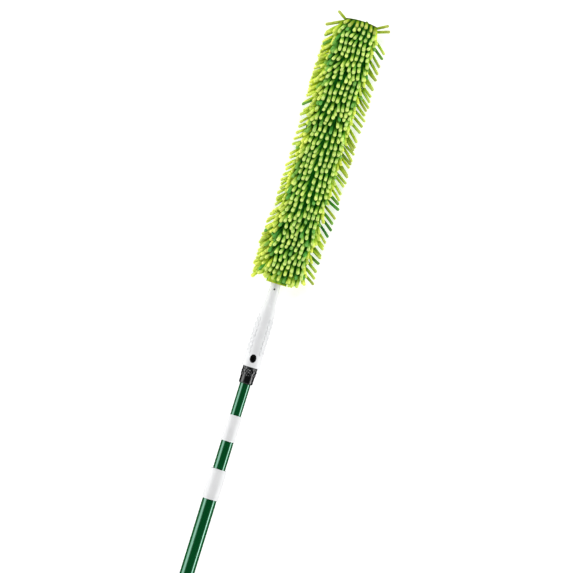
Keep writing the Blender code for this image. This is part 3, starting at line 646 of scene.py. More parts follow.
def lug_height(from_rim, angle):
    """Height of the knurl's lugs: rows of soft blocks, each row turned by half a lug."""
    place = from_rim / (KNURL_LENGTH / KNURL_ROWS)
    row = math.floor(place)
    if row < 0 or row >= KNURL_ROWS:
        return 0
    turn = angle / TURN * KNURL_LUGS + 0.5 * (row % 2)
    around = turn - math.floor(turn) - 0.5
    dome = math.cos(math.pi * (place - row - 0.5)) * math.cos(math.pi * around)
    return KNURL_HEIGHT * max(dome, 0) ** LUG_FULLNESS


def button_hole(name):
    radius = BUTTON_WIDTH / 2 + GAP
    stretch = (BUTTON_LENGTH / 2 + GAP) / radius
    return cylinder_mesh(name, BUTTON_X, radius, 0, 20 * MM, stretch, 96)


def make_collar(looks):
    start, end = span("pole_adapter")
    rim = start + COLLAR_LENGTH
    socket = outer_radius("upper_tube") + GAP
    inside = SHANK_RADIUS - SHANK_WALL
    web = start + SOCKET_DEPTH
    profile = [(start, socket), (start, COLLAR_RADIUS - COLLAR_FOOT)]
    profile.append((start + COLLAR_FOOT, COLLAR_RADIUS))
    for i in range(KNURL_RINGS + 1):
        profile.append((rim - KNURL_LENGTH + KNURL_LENGTH * i / KNURL_RINGS, COLLAR_RADIUS))
    profile += [
        (rim, SHANK_RADIUS),
        (end, SHANK_RADIUS),
        (end, inside),
        (web + SOCKET_WEB, inside),
        (web + SOCKET_WEB, HAIR),
        (web, HAIR),
        (web, socket),
    ]

    def swell(x, r, angle):
        return 0 if abs(r - COLLAR_RADIUS) > HAIR else lug_height(rim - x, angle)

    mesh = cut(lathe("pole_adapter", profile, 192, swell), [button_hole("button_hole_shank")])
    rises = [math.hypot(vert.co.y, vert.co.z) - COLLAR_RADIUS for vert in mesh.vertices]
    store(mesh, "knurl", [min(max(rise / KNURL_HEIGHT, 0), 1) for rise in rises])
    piece = add_piece("collar_moulded", mesh, looks["collar"], "pole_upper")
    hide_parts("pole_adapter")


# (place, radius) along the grip's outside, in mm from its rim
GRIP_STATIONS = (
    (0, 16.0), (0.6, 16.6), (13, 16.3), (28, 15.4), (50, 15.7), (72, 15.4), (97, 14.3),
    (108, 12.6), (113.5, 10.8), (119, 10.2), (130, 9.9), (152, 8.3), (166, 8.3),
)
GRIP_RING_STEP = 1.0 * MM
GRIP_EDGE = 0.6 * MM
GRIP_HOLLOW = 9.6 * MM
GRIP_HOLLOW_END = 97 * MM
GRIP_HOLLOW_POINT = 108 * MM
SPOT_HEIGHT = 0.85 * MM
SPOT_HALF_LENGTH = 3.4 * MM
SPOT_HALF_WIDTH = 1.9 * MM
SPOT_PITCH = 9.5 * MM
SPOT_START = 27 * MM
SPOT_END = 92 * MM
SPOT_COLUMNS = (38, 62, 90)
MOAT_DEPTH = 0.2 * MM
NECK_PIN_FROM_RIM = 140.9 * MM
NECK_PIN_HOLE = 1.75 * MM

grip_radius = monotone_curve([(x * MM, r * MM) for x, r in GRIP_STATIONS])


def spot_reach(along, angle, radius):
    """How far a point is from the nearest grip spot's middle. The spot's own outline is at 1."""
    nearest = 9.0
    for number, column in enumerate(SPOT_COLUMNS):
        start = SPOT_START + (SPOT_PITCH / 2 if number % 2 else 0)
        index = round((along - start) / SPOT_PITCH)
        centre = start + index * SPOT_PITCH
        if index < 0 or centre > SPOT_END:
            continue
        for side in (1, -1):
            away = math.remainder(angle - side * math.radians(column), TURN) * radius
            reach = math.hypot((along - centre) / SPOT_HALF_LENGTH, away / SPOT_HALF_WIDTH)
            nearest = min(nearest, reach)
    return nearest


def moat(reach):
    """From 0 to 1: the shallow groove round each spot, where the colour is also darkened as painted
    shade.
    """
    return 1 - ease(abs(reach - 1.2), 0.06, 0.32)


def make_grip(looks):
    """The hand grip, with staggered columns of raised ovals on both flanks."""
    socket = SHANK_RADIUS + GAP
    socket_end = GRIP_START + SHANK_LENGTH + 2 * MM
    length = GRIP_END - GRIP_START
    places = [0, GRIP_EDGE / 2, GRIP_EDGE]
    places += [GRIP_RING_STEP * i for i in range(1, round(length / GRIP_RING_STEP))]
    profile = [(GRIP_START, socket)]
    profile += [(GRIP_START + place, grip_radius(place)) for place in [*places, length]]
    profile += [
        (GRIP_END, HAIR),
        (GRIP_START + GRIP_HOLLOW_POINT, HAIR),
        (GRIP_START + GRIP_HOLLOW_END, GRIP_HOLLOW),
        (socket_end, GRIP_HOLLOW),
        (socket_end, socket),
    ]

    def swell(x, r, angle):
        along = x - GRIP_START
        if abs(r - grip_radius(along)) > HAIR or along > SPOT_END + SPOT_PITCH:
            return 0
        reach = spot_reach(along, angle, r)
        return SPOT_HEIGHT * max(1 - reach * reach, 0) ** 0.6 - MOAT_DEPTH * moat(reach)

    pin = GRIP_START + NECK_PIN_FROM_RIM
    cutters = [
        button_hole("button_hole_grip"),
        cylinder_mesh("pin_hole", pin, NECK_PIN_HOLE, -30 * MM, 30 * MM, 1, 32),
    ]
    mesh = cut(lathe("grip", profile, 176, swell), cutters)
    # painted shade: how far each point lies in a groove, for the darker grey there
    shades = []
    for vert in mesh.vertices:
        along = vert.co.x - GRIP_START
        radius = grip_radius(along)
        outside = math.hypot(vert.co.y, vert.co.z) > radius - 0.5 * MM
        reach = spot_reach(along, math.atan2(vert.co.y, vert.co.z), radius)
        shades.append(moat(reach) if outside else 0)
    store(mesh, "moat", shades)
    piece = add_piece("grip_moulded", mesh, looks["grip"], "pole_upper")
    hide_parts("grip")


BUTTON_FLANGE = 1 * MM
BUTTON_FLANGE_HEIGHT = 1.4 * MM
BUTTON_RIM = 1.5 * MM
BUTTON_DISH = 0.9 * MM
BUTTON_STEPS = 8
BUTTON_SIDES = 96


def make_button(looks):
    """An oval push button with a rolled rim round a dished face."""
    low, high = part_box("release_button")
    top = high.z
    radius = BUTTON_WIDTH / 2
    flange = radius + BUTTON_FLANGE
    flange_top = low.z + BUTTON_FLANGE_HEIGHT
    inner = radius - BUTTON_RIM * 1.1
    profile = [(low.z, 0), (low.z, flange), (flange_top, flange), (flange_top, radius)]
    for i in range(BUTTON_STEPS + 1):
        turn = math.pi / 2 * i / BUTTON_STEPS
        z = top - BUTTON_RIM * (1 - math.sin(turn))
        profile.append((z, radius - BUTTON_RIM * (1 - math.cos(turn)) * 0.8))
    for i in range(1, BUTTON_STEPS + 1):
        share = i / BUTTON_STEPS
        profile.append((top - BUTTON_DISH * ease(share, 0, 1), inner - BUTTON_RIM * 0.5 * share))
    profile += [(top - BUTTON_DISH * 1.15, inner * 0.4), (top - BUTTON_DISH * 1.2, 0)]
    verts, rings, faces = [], [], []
    for z, r in profile:
        if r == 0:
            rings.append([len(verts)] * BUTTON_SIDES)
            verts.append((BUTTON_X, 0, z))
            continue
        rings.append([len(verts) + i for i in range(BUTTON_SIDES)])
        stretch = BUTTON_LENGTH / BUTTON_WIDTH
        verts += [(BUTTON_X + r * stretch * c, r * s, z) for c, s in circle(BUTTON_SIDES)]
    for one, two in zip(rings, rings[1:]):
        for i in range(BUTTON_SIDES):
            k = (i + 1) % BUTTON_SIDES
            faces.append(tuple(dict.fromkeys((one[i], one[k], two[k], two[i]))))
    mesh = tidy_normals(new_mesh("release_button", verts, faces))
    piece = add_piece("button_moulded", mesh, looks["button"], "button")
    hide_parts("release_button")


SPRING_RADIUS = 3.2 * MM
SPRING_WIRE = 0.4 * MM
SPRING_TURNS = 6
SPRING_STEPS = 28
SPRING_END_RISE = 0.075


def make_spring(looks):
    """The coil spring under the button, with closed ends."""
    low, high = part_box("button_spring")
    x = BUTTON_X
    foot = low.z + SPRING_WIRE
    rise = high.z - low.z - 2 * SPRING_WIRE
    end = 1 / SPRING_TURNS
    climb = monotone_curve([(0, 0), (end, SPRING_END_RISE), (1 - end, 1 - SPRING_END_RISE), (1, 1)])
    count = SPRING_TURNS * SPRING_STEPS
    line = []
    for i in range(count + 1):
        a = TURN * i / SPRING_STEPS
        height = foot + rise * climb(i / count)
        line.append(Vector((x + SPRING_RADIUS * math.cos(a), SPRING_RADIUS * math.sin(a), height)))
    mesh = grid_mesh("button_spring", tube_along(line, SPRING_WIRE, 10))
    piece = add_piece("spring_coil", mesh, looks["spring"], "pole_upper")
    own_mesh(piece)
    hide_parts("button_spring")


PIN_HEAD = 0.35 * MM
PIN_DOME = ((0.1, 0.35), (0.35, 0.75), (1, 1.0))


def make_neck_pin(looks):
    low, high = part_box("neck_pin")
    x = (low.x + high.x) / 2
    radius = (high.x - low.x) / 2 + PIN_HEAD
    heights = [(low.z + PIN_HEAD * rise, share) for rise, share in PIN_DOME]
    heights += [(high.z - PIN_HEAD * rise, share) for rise, share in reversed(PIN_DOME)]
    rings = []
    for z, share in heights:
        rings.append([(x + radius * share * c, radius * share * s, z) for c, s in circle(32)])
    piece = add_piece("neck_pin_steel", grid_mesh("neck_pin", rings), looks["pin"], "pole_upper")
    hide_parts("neck_pin")


# The head's sleeve. It hangs a little towards -Y, as in the photograph

HEM_START, _ = span("sleeve_hem")
SLEEVE_START, _ = span("sleeve_front_1")
_, SLEEVE_END = span("sleeve_front_4")
_, TIP_END = span("tip_closure")
SLEEVE_MIDDLE = -5.0 * MM
SLEEVE_HALF = 36.0 * MM
SLEEVE_HEIGHT = 6.7 * MM
MOUTH_HALF = 17.5 * MM
MOUTH_HEIGHT = 10.7 * MM
SHOULDER_START = SLEEVE_START - 6 * MM
SHOULDER_END = SLEEVE_START + 10 * MM
SEAM_MIDDLE = -7.9 * MM
SEAM_HALF = 29.1 * MM
SEAM_HEIGHT = 1.2 * MM
SEAM_BOW = 3.4 * MM
SEAM_END = TIP_END - 3.8 * MM
SEAM_CORNER = SEAM_END - SEAM_BOW
SQUARENESS = 2.6
RING_POINTS = 56
RING_STEP = 3.5 * MM
WRINKLE = 0.35 * MM

# Bodies that the sleeve crosses, and the bends between them
HEAD_BODIES = ("pole_upper", "head_2", "head_3", "head_4")
BENDS = [JOINTS[name]["pos_m"][0] for name in ("bend_1", "bend_2", "bend_3")]
LINK_HALF = (BENDS[1] - BENDS[0]) / 2
SPLITS = [BENDS[0] - LINK_HALF] + [bend + LINK_HALF for bend in BENDS]
LETTERS = "abcde"
REPLACED = (
    ("sleeve_front_1", "sleeve_back_1"),
    ("sleeve_front_2", "sleeve_back_2"),
    ("sleeve_front_3", "sleeve_back_3"),
    ("sleeve_front_4", "sleeve_back_4"),
    ("tip_closure",),
)


def between(one, two, share):
    return one + (two - one) * share


def sleeve_shape(x):
    """(middle y, half width, half thickness) of the sleeve's backing at x."""
    if x < SHOULDER_END:
        share = ease(x, SHOULDER_START, SHOULDER_END)
        half = between(MOUTH_HALF, SLEEVE_HALF, share)
        return SLEEVE_MIDDLE * share, half, between(MOUTH_HEIGHT, SLEEVE_HEIGHT, share)
    share = ease(x, SLEEVE_END - 9 * MM, SEAM_CORNER)
    thinning = ease(x, SLEEVE_END - 4 * MM, SEAM_CORNER)
    half = between(SLEEVE_HALF, SEAM_HALF, share)
    height = between(SLEEVE_HEIGHT, SEAM_HEIGHT, thinning)
    return between(SLEEVE_MIDDLE, SEAM_MIDDLE, share), half, height


def surface_z(x, y):
    """Height of the backing over the middle plane."""
    middle, half, height = sleeve_shape(x)
    share = min(abs(y - middle) / half, 0.999)
    return height * (1 - share**SQUARENESS) ** (1 / SQUARENESS)


def oval(count, half, height, squareness):
    """(y, z) round an oval. A squareness of 2 makes an ellipse."""
    power = 2 / squareness
    points = []
    for c, s in circle(count):
        y = half * math.copysign(abs(c) ** power, c)
        points.append((y, height * math.copysign(abs(s) ** power, s)))
    return points


def sleeve_ring(x, bow):
    """The backing's outline at x, pushed on by `bow` in its middle."""
    middle, half, height = sleeve_shape(x)
    ring = []
    for away, z in oval(RING_POINTS, half, height, SQUARENESS):
        lump = noise.noise(Vector((x, middle + away, z)) * 70) * WRINKLE
        place = x + bow * (1 - (away / half) ** 2)
        ring.append((place, middle + away * (1 + lump / half), z * (1 + lump / height)))
    return ring


def dress(piece, index):
    """Lets a piece of the sleeve ride on its body; a piece between two bodies stays unattached, its
    place baked into its mesh.
    """
    if index == 0:
        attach(piece, HEAD_BODIES[0])
    elif index == len(BENDS) + 1:
        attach(piece, HEAD_BODIES[-1])
    else:
        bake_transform(piece)


def make_backing(looks):
    limits = [SLEEVE_START - 1 * MM, *SPLITS, SEAM_CORNER]
    for index, (start, end) in enumerate(zip(limits, limits[1:])):
        last = index == len(SPLITS)
        count = round((end - start) / RING_STEP)
        rings = []
        for i in range(count + 1):
            x = start + (end - start) * i / count
            rings.append(sleeve_ring(x, SEAM_BOW * ease(x, SLEEVE_END, end) if last else 0))
        name = "sleeve_backing_" + LETTERS[index]
        piece = add_piece(name, grid_mesh(name, rings), looks["backing"])
        dress(piece, index)
        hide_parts(*REPLACED[index])


HEM_END = SLEEVE_START + 2 * MM
HEM_FOLDS = 11
HEM_FOLD_DEPTH = 0.9 * MM
HEM_ROLL = 1.3 * MM
HEM_LINING = 1.4 * MM
HEM_POINTS = 144
HEM_STEPS = 18
HEM_TURNS = 7
LINING_STEPS = 6


def hem_ring(x, grow, folds):
    """The cuff's outline at x, `grow` wider all round, with this share of the folds."""
    middle, half, height = sleeve_shape(x)
    fullness = ease(x, HEM_START, HEM_END)
    ring = []
    outline = oval(HEM_POINTS, half + grow, height + grow, between(2, SQUARENESS, fullness))
    for i, (y, z) in enumerate(outline):
        a = TURN * i / HEM_POINTS
        wave = math.sin(HEM_FOLDS * a + 0.7 * math.sin(3 * a))
        depth = HEM_FOLD_DEPTH * folds * wave * (1 - 0.6 * fullness)
        out = Vector((y, z)).normalized()
        ring.append((x, middle + y + out.x * depth, z + out.y * depth))
    return ring


def make_hem(looks):
    """The sleeve's mouth: a gathered cuff with a rolled edge, open round the grip's neck."""
    edge = HEM_START + HEM_ROLL
    rings = [hem_ring(between(HEM_END, edge, i / HEM_STEPS), 0, 1) for i in range(HEM_STEPS + 1)]
    for i in range(1, HEM_TURNS + 1):
        a = math.pi * i / HEM_TURNS
        grow = -HEM_ROLL * (1 - math.cos(a)) + 0.5 * MM * math.sin(a)
        rings.append(hem_ring(edge - HEM_ROLL * math.sin(a), grow, 0.8))
    for i in range(1, LINING_STEPS + 1):
        grow = -2 * HEM_ROLL - HEM_LINING * ease(i, 0, 3)
        rings.append(hem_ring(between(edge, HEM_END, i / LINING_STEPS), grow, 0.3))
    mesh = grid_mesh("sleeve_hem", rings, loop=True)
    rims, painted_cuff_shades = [], []
    for vert in mesh.vertices:
        x, y, _ = vert.co
        rims.append(1 - ease(x, HEM_START + 0.8 * MM, HEM_START + 3.4 * MM))
        # painted shade: the cuff is darker towards -Y and at both sides
        side = 0.44 * ease(y, -13 * MM, -3 * MM) + 0.26 * ease(y, 3 * MM, 10 * MM)
        painted_cuff_shades.append(side * (1 - ease(abs(y), 15.5 * MM, 19 * MM)))
    store(mesh, "rim", rims)
    store(mesh, "tone", painted_cuff_shades)
    piece = add_piece("hem_cuff", mesh, looks["hem"], "pole_upper")
    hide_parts("sleeve_hem")


# Fingers of the sleeve

FINGER_SEED = 20
FINGER_SIDES = 9
FINGER_BODY_RINGS = 9
FINGER_TIP = ((0.32, 0.97), (0.58, 0.86), (0.80, 0.66), (0.95, 0.35))
FINGER_BLUNTNESS = 0.95
FINGER_LUMPS = 430
FINGER_LUMP = 0.09
FINGER_SINK = 1.6 * MM
FINGER_LENGTH = 25.0 * MM
FINGER_RADIUS = 3.1 * MM


class Finger:
    """One chenille finger: where it stands, where it points, and its looks."""

    def __init__(self, base, direction, long, thick, green, yellow, tint, bow, root_shade_lift):
        self.base = base
        self.direction = direction
        self.length = FINGER_LENGTH * long
        self.radius = FINGER_RADIUS * thick
        self.shades = {"greenness": green, "yellowness": yellow, "tint": tint}
        self.bow = Vector((bow, 0, 0))
        # painted shade: the finger's colour darkens towards its root, and this lifts how dark the
        # root gets
        self.root_shade_lift = root_shade_lift

    def end(self):
        return self.base + self.direction * self.length


def pointing(fan, lean, side=1):
    """A direction that turns `fan` degrees from upright towards +Y and leans to the handle."""
    f, n = math.radians(fan), math.radians(lean)
    flat = math.cos(n)
    return Vector((-math.sin(n), flat * math.sin(f), side * flat * math.cos(f))).normalized()


def greenness(draw, share):
    """Most fingers are lime, and this share of them is dark green."""
    if draw.random() < share:
        return draw.uniform(0.75, 1.0)
    return draw.uniform(0.0, 0.18)


FACE_FIRST = SLEEVE_START + 12.5 * MM
FACE_LEFT = 14.7 * MM
FACE_COLUMNS = 7
COLUMN_PITCH = 8.3 * MM
FACE_ROOM = 4.0 * MM
FACE_LAST = 1.6 * MM
FACE_LOW_END = FACE_FIRST + 22.0 * MM
PITCH_LOW = 9.9 * MM
PITCH_MIDDLE = 11.3 * MM
PITCH_HIGH = 10.4 * MM
PITCH_TURN = 0.35
ENDS_APART = 7.4 * MM
ENDS_ROUNDS = 5
PARTING_Y = -9 * MM
PARTING_START = 0.985
PARTING_END = 1.150
PARTING_FADE = 30 * MM


def field(x, y, seed, size):
    """A smooth random value, from about -1 to 1, that changes over `size`."""
    return noise.noise(Vector((x / size, y / size, seed))) * 1.6


def row_pitch(x):
    share = (x - SLEEVE_START) / (TIP_END - SLEEVE_START)
    if share < PITCH_TURN:
        return between(PITCH_LOW, PITCH_MIDDLE, share / PITCH_TURN)
    return between(PITCH_MIDDLE, PITCH_HIGH, (share - PITCH_TURN) / (1 - PITCH_TURN))


def seam_x(y):
    """Where the bowed seam is, at y."""
    away = (y - SEAM_MIDDLE) / SEAM_HALF
    return SEAM_END - SEAM_BOW * min(away * away, 1.5)


def parted(x):
    """From 0 to 1: how far the fingers of the middle stretch are parted at x."""
    start = ease(x, PARTING_START, PARTING_START + PARTING_FADE)
    return start - ease(x, PARTING_END - PARTING_FADE, PARTING_END)


def parting(x, y):
    """From -1 to 1: fingers of the middle stretch fall to both sides of a dark line."""
    away = y - PARTING_Y
    return parted(x) * math.tanh(away / (6 * MM)) * math.exp(-abs(away) / (14 * MM))


def spread_ends(fingers):
    """Moves neighbours of a face apart where their ends come too close."""
    ends = [finger.end() for finger in fingers]
    for _ in range(ENDS_ROUNDS):
        for i, one in enumerate(fingers):
            for j in range(i + 1, min(i + 2 * FACE_COLUMNS + 1, len(fingers))):
                gap = ends[j] - ends[i]
                gap.z = 0
                short = ENDS_APART - gap.length
                if short > 0:
                    push = gap.normalized() * (short / 2)
                    fingers[j].base += push
                    ends[j] += push
                    one.base -= push
                    ends[i] -= push
    return fingers


def face_fingers(side, draw):
    """Columns and rows of fingers on one face. Neighbours lean alike, and the rows sway."""
    fingers, rows = [], []
    row = FACE_FIRST
    while row < SEAM_END - FACE_LAST - PITCH_HIGH / 3:
        rows.append(row)
        row += row_pitch(row)
    stretch = (SEAM_END - FACE_LAST - rows[0]) / (rows[-1] - rows[0])
    for row in rows:
        row = rows[0] + (row - rows[0]) * stretch
        upright = ease(row, SEAM_END - 90 * MM, SEAM_END)
        low = 1 - ease(row, FACE_FIRST, FACE_LOW_END)
        wild = 1 - 0.6 * parted(row)
        for column in range(FACE_COLUMNS):
            plain = FACE_LEFT - COLUMN_PITCH * column
            x = row + 3.2 * MM * (1 - low) * field(row, plain, side * 3.7, 28 * MM)
            x += draw.uniform(-1.7, 1.7) * MM * (1 - 0.6 * low)
            y = plain + 2.3 * MM * wild * field(row, plain, side * 9.1, 34 * MM)
            y += draw.uniform(-1.1, 1.1) * (1.4 if column == 0 else 1) * MM
            y += 2.0 * MM * parting(x, y)
            x = min(x, seam_x(y) - FACE_LAST)
            middle, half, _ = sleeve_shape(x)
            room = half - FACE_ROOM
            y = min(max(y, middle - room), middle + room)
            sway = 10 * wild * field(x, y, side * 5.3, 30 * MM) * (1 - low)
            lean = 36 - 13 * upright + 9 * low + sway
            fan = 4 + 14 * wild * field(x, y, side * 7.9, 30 * MM) + draw.uniform(-5, 5)
            fan += (8 + 14 * low) * (y - middle) / half + 9 * low + 16 * parting(x, y)
            # painted shade: fingers near the seam get a lower tint, which darkens them
            near_seam = ease(x, SEAM_END - 12 * MM, SEAM_END - 5 * MM)
            fingers.append(
                Finger(
                    Vector((x, y, side * (surface_z(x, y) - FINGER_SINK))),
                    pointing(fan, lean + draw.uniform(-3.5, 3.5), side),
                    draw.uniform(0.93, 1.06),
                    draw.uniform(0.83, 0.96),
                    greenness(draw, 0.05),
                    draw.uniform(0.0, 0.3) + 0.5 * low + 0.7 * near_seam,
                    draw.uniform(0.35, 1.0) * (1 - 0.75 * near_seam),
                    draw.uniform(-0.12, 0.0),
                    0.08 + 0.15 * low,
                )
            )
    return spread_ends(fingers)


def bushiness(x):
    """The left side is bushy towards both ends, and sparser between them."""
    return 1 - ease(x, 0.955, 0.99) * (1 - ease(x, 1.13, 1.17))


def left_fingers(draw):
    """The +Y side: a green inner fringe, a bright ridge, and a bushy or a sparse outer fringe."""
    fingers = []

    def grow(x, y, rise, fan, lean, long, thick, green, yellow, root_shade_lift):
        middle, half, height = sleeve_shape(x)
        fingers.append(
            Finger(
                Vector((x, min(y, middle + half - 1.5 * MM), rise * height)),
                pointing(fan, lean),
                long,
                thick,
                greenness(draw, green),
                draw.uniform(yellow, 1.0),
                draw.uniform(0.3, 1.0),
                draw.uniform(-0.2, -0.02),
                root_shade_lift,
            )
        )

    x = SLEEVE_START + 13 * MM
    while x < SEAM_END - 9 * MM:
        fan = 24 + draw.uniform(-12, 12)
        lean = 42 + draw.uniform(-9, 9)
        long = draw.uniform(0.80, 0.98)
        root = draw.uniform(17.5, 23.0) * MM
        grow(x, root, 0.8, fan, lean, long, 0.92, 0.50, 0.5, 0.42)
        x += draw.uniform(8.2, 10.6) * MM
    x = SLEEVE_START + 13 * MM
    while x < SEAM_END - 9 * MM:
        root = draw.uniform(21.5, 27.0) * MM
        fan = 42 + draw.uniform(-18, 16)
        lean = 45 + draw.uniform(-14, 13)
        long = draw.uniform(0.75, 1.0) - 0.14 * (1 - bushiness(x))
        grow(x, root, 0.7, fan, lean, long, 0.88, 0.12, 0.6, 0.3)
        x += draw.uniform(5.6, 7.6) * MM
    x = SLEEVE_START + 19 * MM
    while x < SEAM_END - 17 * MM:
        full = bushiness(x)
        low = 1 - ease(x, SLEEVE_START + 90 * MM, SLEEVE_START + 140 * MM)
        lean = 35 + 9 * low + 6 * field(x, 0, 2.2, 26 * MM)
        long = 0.97 + 0.12 * low - 0.13 * (1 - full) + 0.07 * field(x, 0, 4.4, 14 * MM)
        for fan, rise, shift, chance in (
            (64, 0.7, 2.5, 0.85 * full),
            (84, 0.1, 0, 1),
            (104, -0.6, -2.5, 0.2 + 0.5 * full),
        ):
            if draw.random() > chance:
                continue
            place = x + (shift + draw.uniform(-1.4, 1.4)) * MM
            angle = lean + draw.uniform(-7, 7)
            size = long * draw.uniform(0.92, 1.03)
            thick = draw.uniform(0.76, 0.88)
            turn = fan + draw.uniform(-6, 6)
            grow(place, 28 * MM, rise, turn, angle, size, thick, 0.06, 0.75, 0.42)
        x += (draw.uniform(7.6, 10.2) + 2.0 * (1 - full)) * MM
    return fingers


# (start, end, share) of the right fringe's stretches with dark green fingers
DARK_STRETCHES = (
    (0.900, 0.921, 0.95),
    (0.963, 1.030, 0.8),
    (1.266, 1.275, 0.95),
    (1.285, 1.298, 0.95),
)


def right_fingers(draw):
    """The -Y side: a bright ridge along the edge, and thinner fingers in single file beyond it."""
    fingers = []
    x = SLEEVE_START + 15 * MM
    while x < SEAM_END - 6 * MM:
        middle, half, height = sleeve_shape(x)
        fingers.append(
            Finger(
                Vector((x, middle - half + draw.uniform(1.8, 5.5) * MM, 0.6 * height)),
                pointing(-34 + draw.uniform(-24, 18), 54 + draw.uniform(-16, 12)),
                draw.uniform(0.64, 0.86),
                draw.uniform(0.80, 0.94),
                greenness(draw, 0.12),
                draw.uniform(0.6, 1.0),
                draw.uniform(0.4, 1.0),
                draw.uniform(-0.1, 0.1),
                0.35,
            )
        )
        x += draw.uniform(5.6, 7.6) * MM
    x = SLEEVE_START + 20 * MM
    while x < SEAM_END - 20 * MM:
        middle, half, height = sleeve_shape(x)
        lean = 35 + 8 * field(x, 1, 6.6, 60 * MM)
        twins = 2 if field(x, 2, 8.8, 45 * MM) > 0.25 else 1
        dark = max([0.01] + [share for low, high, share in DARK_STRETCHES if low < x < high])
        long = 1.0 + 0.1 * ease(x, 0.92, 1.0)
        edge = middle - half + 1.6 * MM
        for number in range(twins):
            fingers.append(
                Finger(
                    Vector((x + number * 6.0 * MM, edge, -0.35 * height * number)),
                    pointing(-86 - 8 * number + draw.uniform(-5, 5), lean + draw.uniform(-4, 4)),
                    long * draw.uniform(1.02, 1.12),
                    draw.uniform(0.76, 0.88),
                    greenness(draw, dark),
                    draw.uniform(0.6, 1.0),
                    draw.uniform(0.1, 0.55),
                    draw.uniform(-0.1, 0.08),
                    0.2,
                )
            )
        x += (draw.uniform(10.2, 12.2) + 5.6 * (twins - 1)) * MM
    return fingers


# (place past the sleeve's start, y, fan, lean, share of the length) of the fingers beside the hem
HANGING = (
    (11, 30.0, 88, 55, 1.14),
    (13, 27.0, 66, 50, 0.80),
    (11, 23.5, 40, 46, 0.74),
    (10, 19.5, 26, 46, 0.72),
    (9, 15.5, 14, 44, 0.74),
    (8, -18.5, 4, 47, 0.80),
    (8, -22.0, 0, 53, 0.94),
    (9, -25.5, -4, 52, 0.94),
    (10, -29.0, -12, 54, 0.84),
    (20, -37.0, -86, 60, 0.94),
)

# (fan, lean, corner, share of the length, mm below the corner, thickness) of the seam's tufts
TUFTS = (
    (88, -32, 1, 0.80, 2, 0.82),
    (86, 27, 1, 1.42, 5, 0.92),
    (-88, -29, -1, 0.92, 2, 0.82),
    (-84, -18, -1, 1.06, 8.5, 0.86),
)


def end_fingers(draw):
    """Fingers that hang down beside the hem, and the two tufts at each corner of the seam."""
    fingers = []
    for side in (1, -1):
        for place, root, fan, lean, long in HANGING:
            x = SLEEVE_START + (place + draw.uniform(-0.6, 0.6)) * MM
            middle, half, _ = sleeve_shape(x)
            room = half - 2 * MM
            y = min(max(root * MM, middle - room), middle + room)
            fingers.append(
                Finger(
                    Vector((x, y, side * (surface_z(x, y) - FINGER_SINK))),
                    pointing(fan, lean + draw.uniform(-3, 3), side),
                    long,
                    draw.uniform(0.8, 0.9),
                    greenness(draw, 0.08),
                    draw.uniform(0.6, 1.0),
                    draw.uniform(0.3, 1.0),
                    0,
                    0.15,
                )
            )
    for fan, lean, corner, long, below, thick in TUFTS:
        y = SEAM_MIDDLE + corner * (SEAM_HALF - 1.5 * MM)
        base = Vector((SEAM_CORNER - below * MM, y, 0))
        fingers.append(Finger(base, pointing(fan, lean), long, thick, 0.0, 0.8, 0.12, 0, 0.45))
    return fingers


def finger_stations(finger):
    """(distance, share of the radius) along a finger: a body that swells a little, and a tip."""
    reach = finger.radius * FINGER_BLUNTNESS
    straight = finger.length - reach
    stations = []
    for j in range(FINGER_BODY_RINGS + 1):
        share = j / FINGER_BODY_RINGS
        full = 0.86 + 0.14 * ease(share, 0, 0.35) + 0.04 * ease(share, 0.6, 1)
        stations.append((straight * share, full))
    return stations + [(straight + reach * rise, full) for rise, full in FINGER_TIP]


def finger_skin(fingers, name):
    """One mesh for many fingers, with how far along each one a point is, which the material turns
    into painted shade at the root and a painted highlight at the tip, and the finger's looks.
    """
    verts, faces = [], []
    values = {"along": [], "greenness": [], "yellowness": [], "tint": []}
    for finger in fingers:
        across = finger.direction.orthogonal().normalized()
        other = finger.direction.cross(across)
        first = len(verts)
        for distance, full in finger_stations(finger):
            share = distance / finger.length
            centre = finger.base + finger.direction * distance
            centre = centre + finger.bow * (finger.length * share * share)
            for c, s in circle(FINGER_SIDES):
                out = across * c + other * s
                lump = noise.noise((centre + out * finger.radius) * FINGER_LUMPS) * FINGER_LUMP
                verts.append(centre + out * finger.radius * full * (1 + lump))
                values["along"].append(finger.root_shade_lift + (1 - finger.root_shade_lift) * share)
        root = len(verts)
        tip = root + 1
        last = root - FINGER_SIDES
        verts += [finger.base, finger.end() + finger.bow * finger.length]
        values["along"] += [finger.root_shade_lift, 1.0]
        for k in range(FINGER_SIDES):
            n = (k + 1) % FINGER_SIDES
            for a in range(first, last, FINGER_SIDES):
                b = a + FINGER_SIDES
                faces.append((a + k, a + n, b + n, b + k))
            faces += [(first + n, first + k, root), (last + k, last + n, tip)]
        for key, shade in finger.shades.items():
            values[key] += [shade] * (tip + 1 - first)
    mesh = new_mesh(name, verts, faces)
    for key, numbers in values.items():
        store(mesh, key, numbers)
    mesh.shade_smooth()
    return mesh


def above_floor(finger, floor):
    """Lays a finger flatter where its end would go through the floor."""
    lowest = floor + finger.radius * 1.12 - finger.base.z
    if finger.direction.z * finger.length < lowest:
        upright = lowest / finger.length
        flat = Vector((finger.direction.x, finger.direction.y, 0)).normalized()
        finger.direction = flat * math.sqrt(1 - upright * upright) + Vector((0, 0, upright))


def make_fingers(looks):
    draw = random.Random(FINGER_SEED)
    fingers = face_fingers(1, draw) + face_fingers(-1, draw)
    fingers += left_fingers(draw) + right_fingers(draw) + end_fingers(draw)
    for finger in fingers:
        above_floor(finger, cad_box[0].z)
    limits = [-math.inf, *SPLITS, math.inf]
    for index, (low, high) in enumerate(zip(limits, limits[1:])):
        members = [finger for finger in fingers if low <= finger.base.x < high]
        name = "sleeve_fingers_" + LETTERS[index]
        piece = add_piece(name, finger_skin(members, name), looks["chenille"])
        dress(piece, index)


SEAM_RADIUS = 1.45 * MM
SEAM_BACK = 1.1 * MM
SEAM_STEPS = 40
STITCH_PITCH = 3.2 * MM
STITCH_RADIUS = 0.35 * MM
STITCH_STEPS = 8


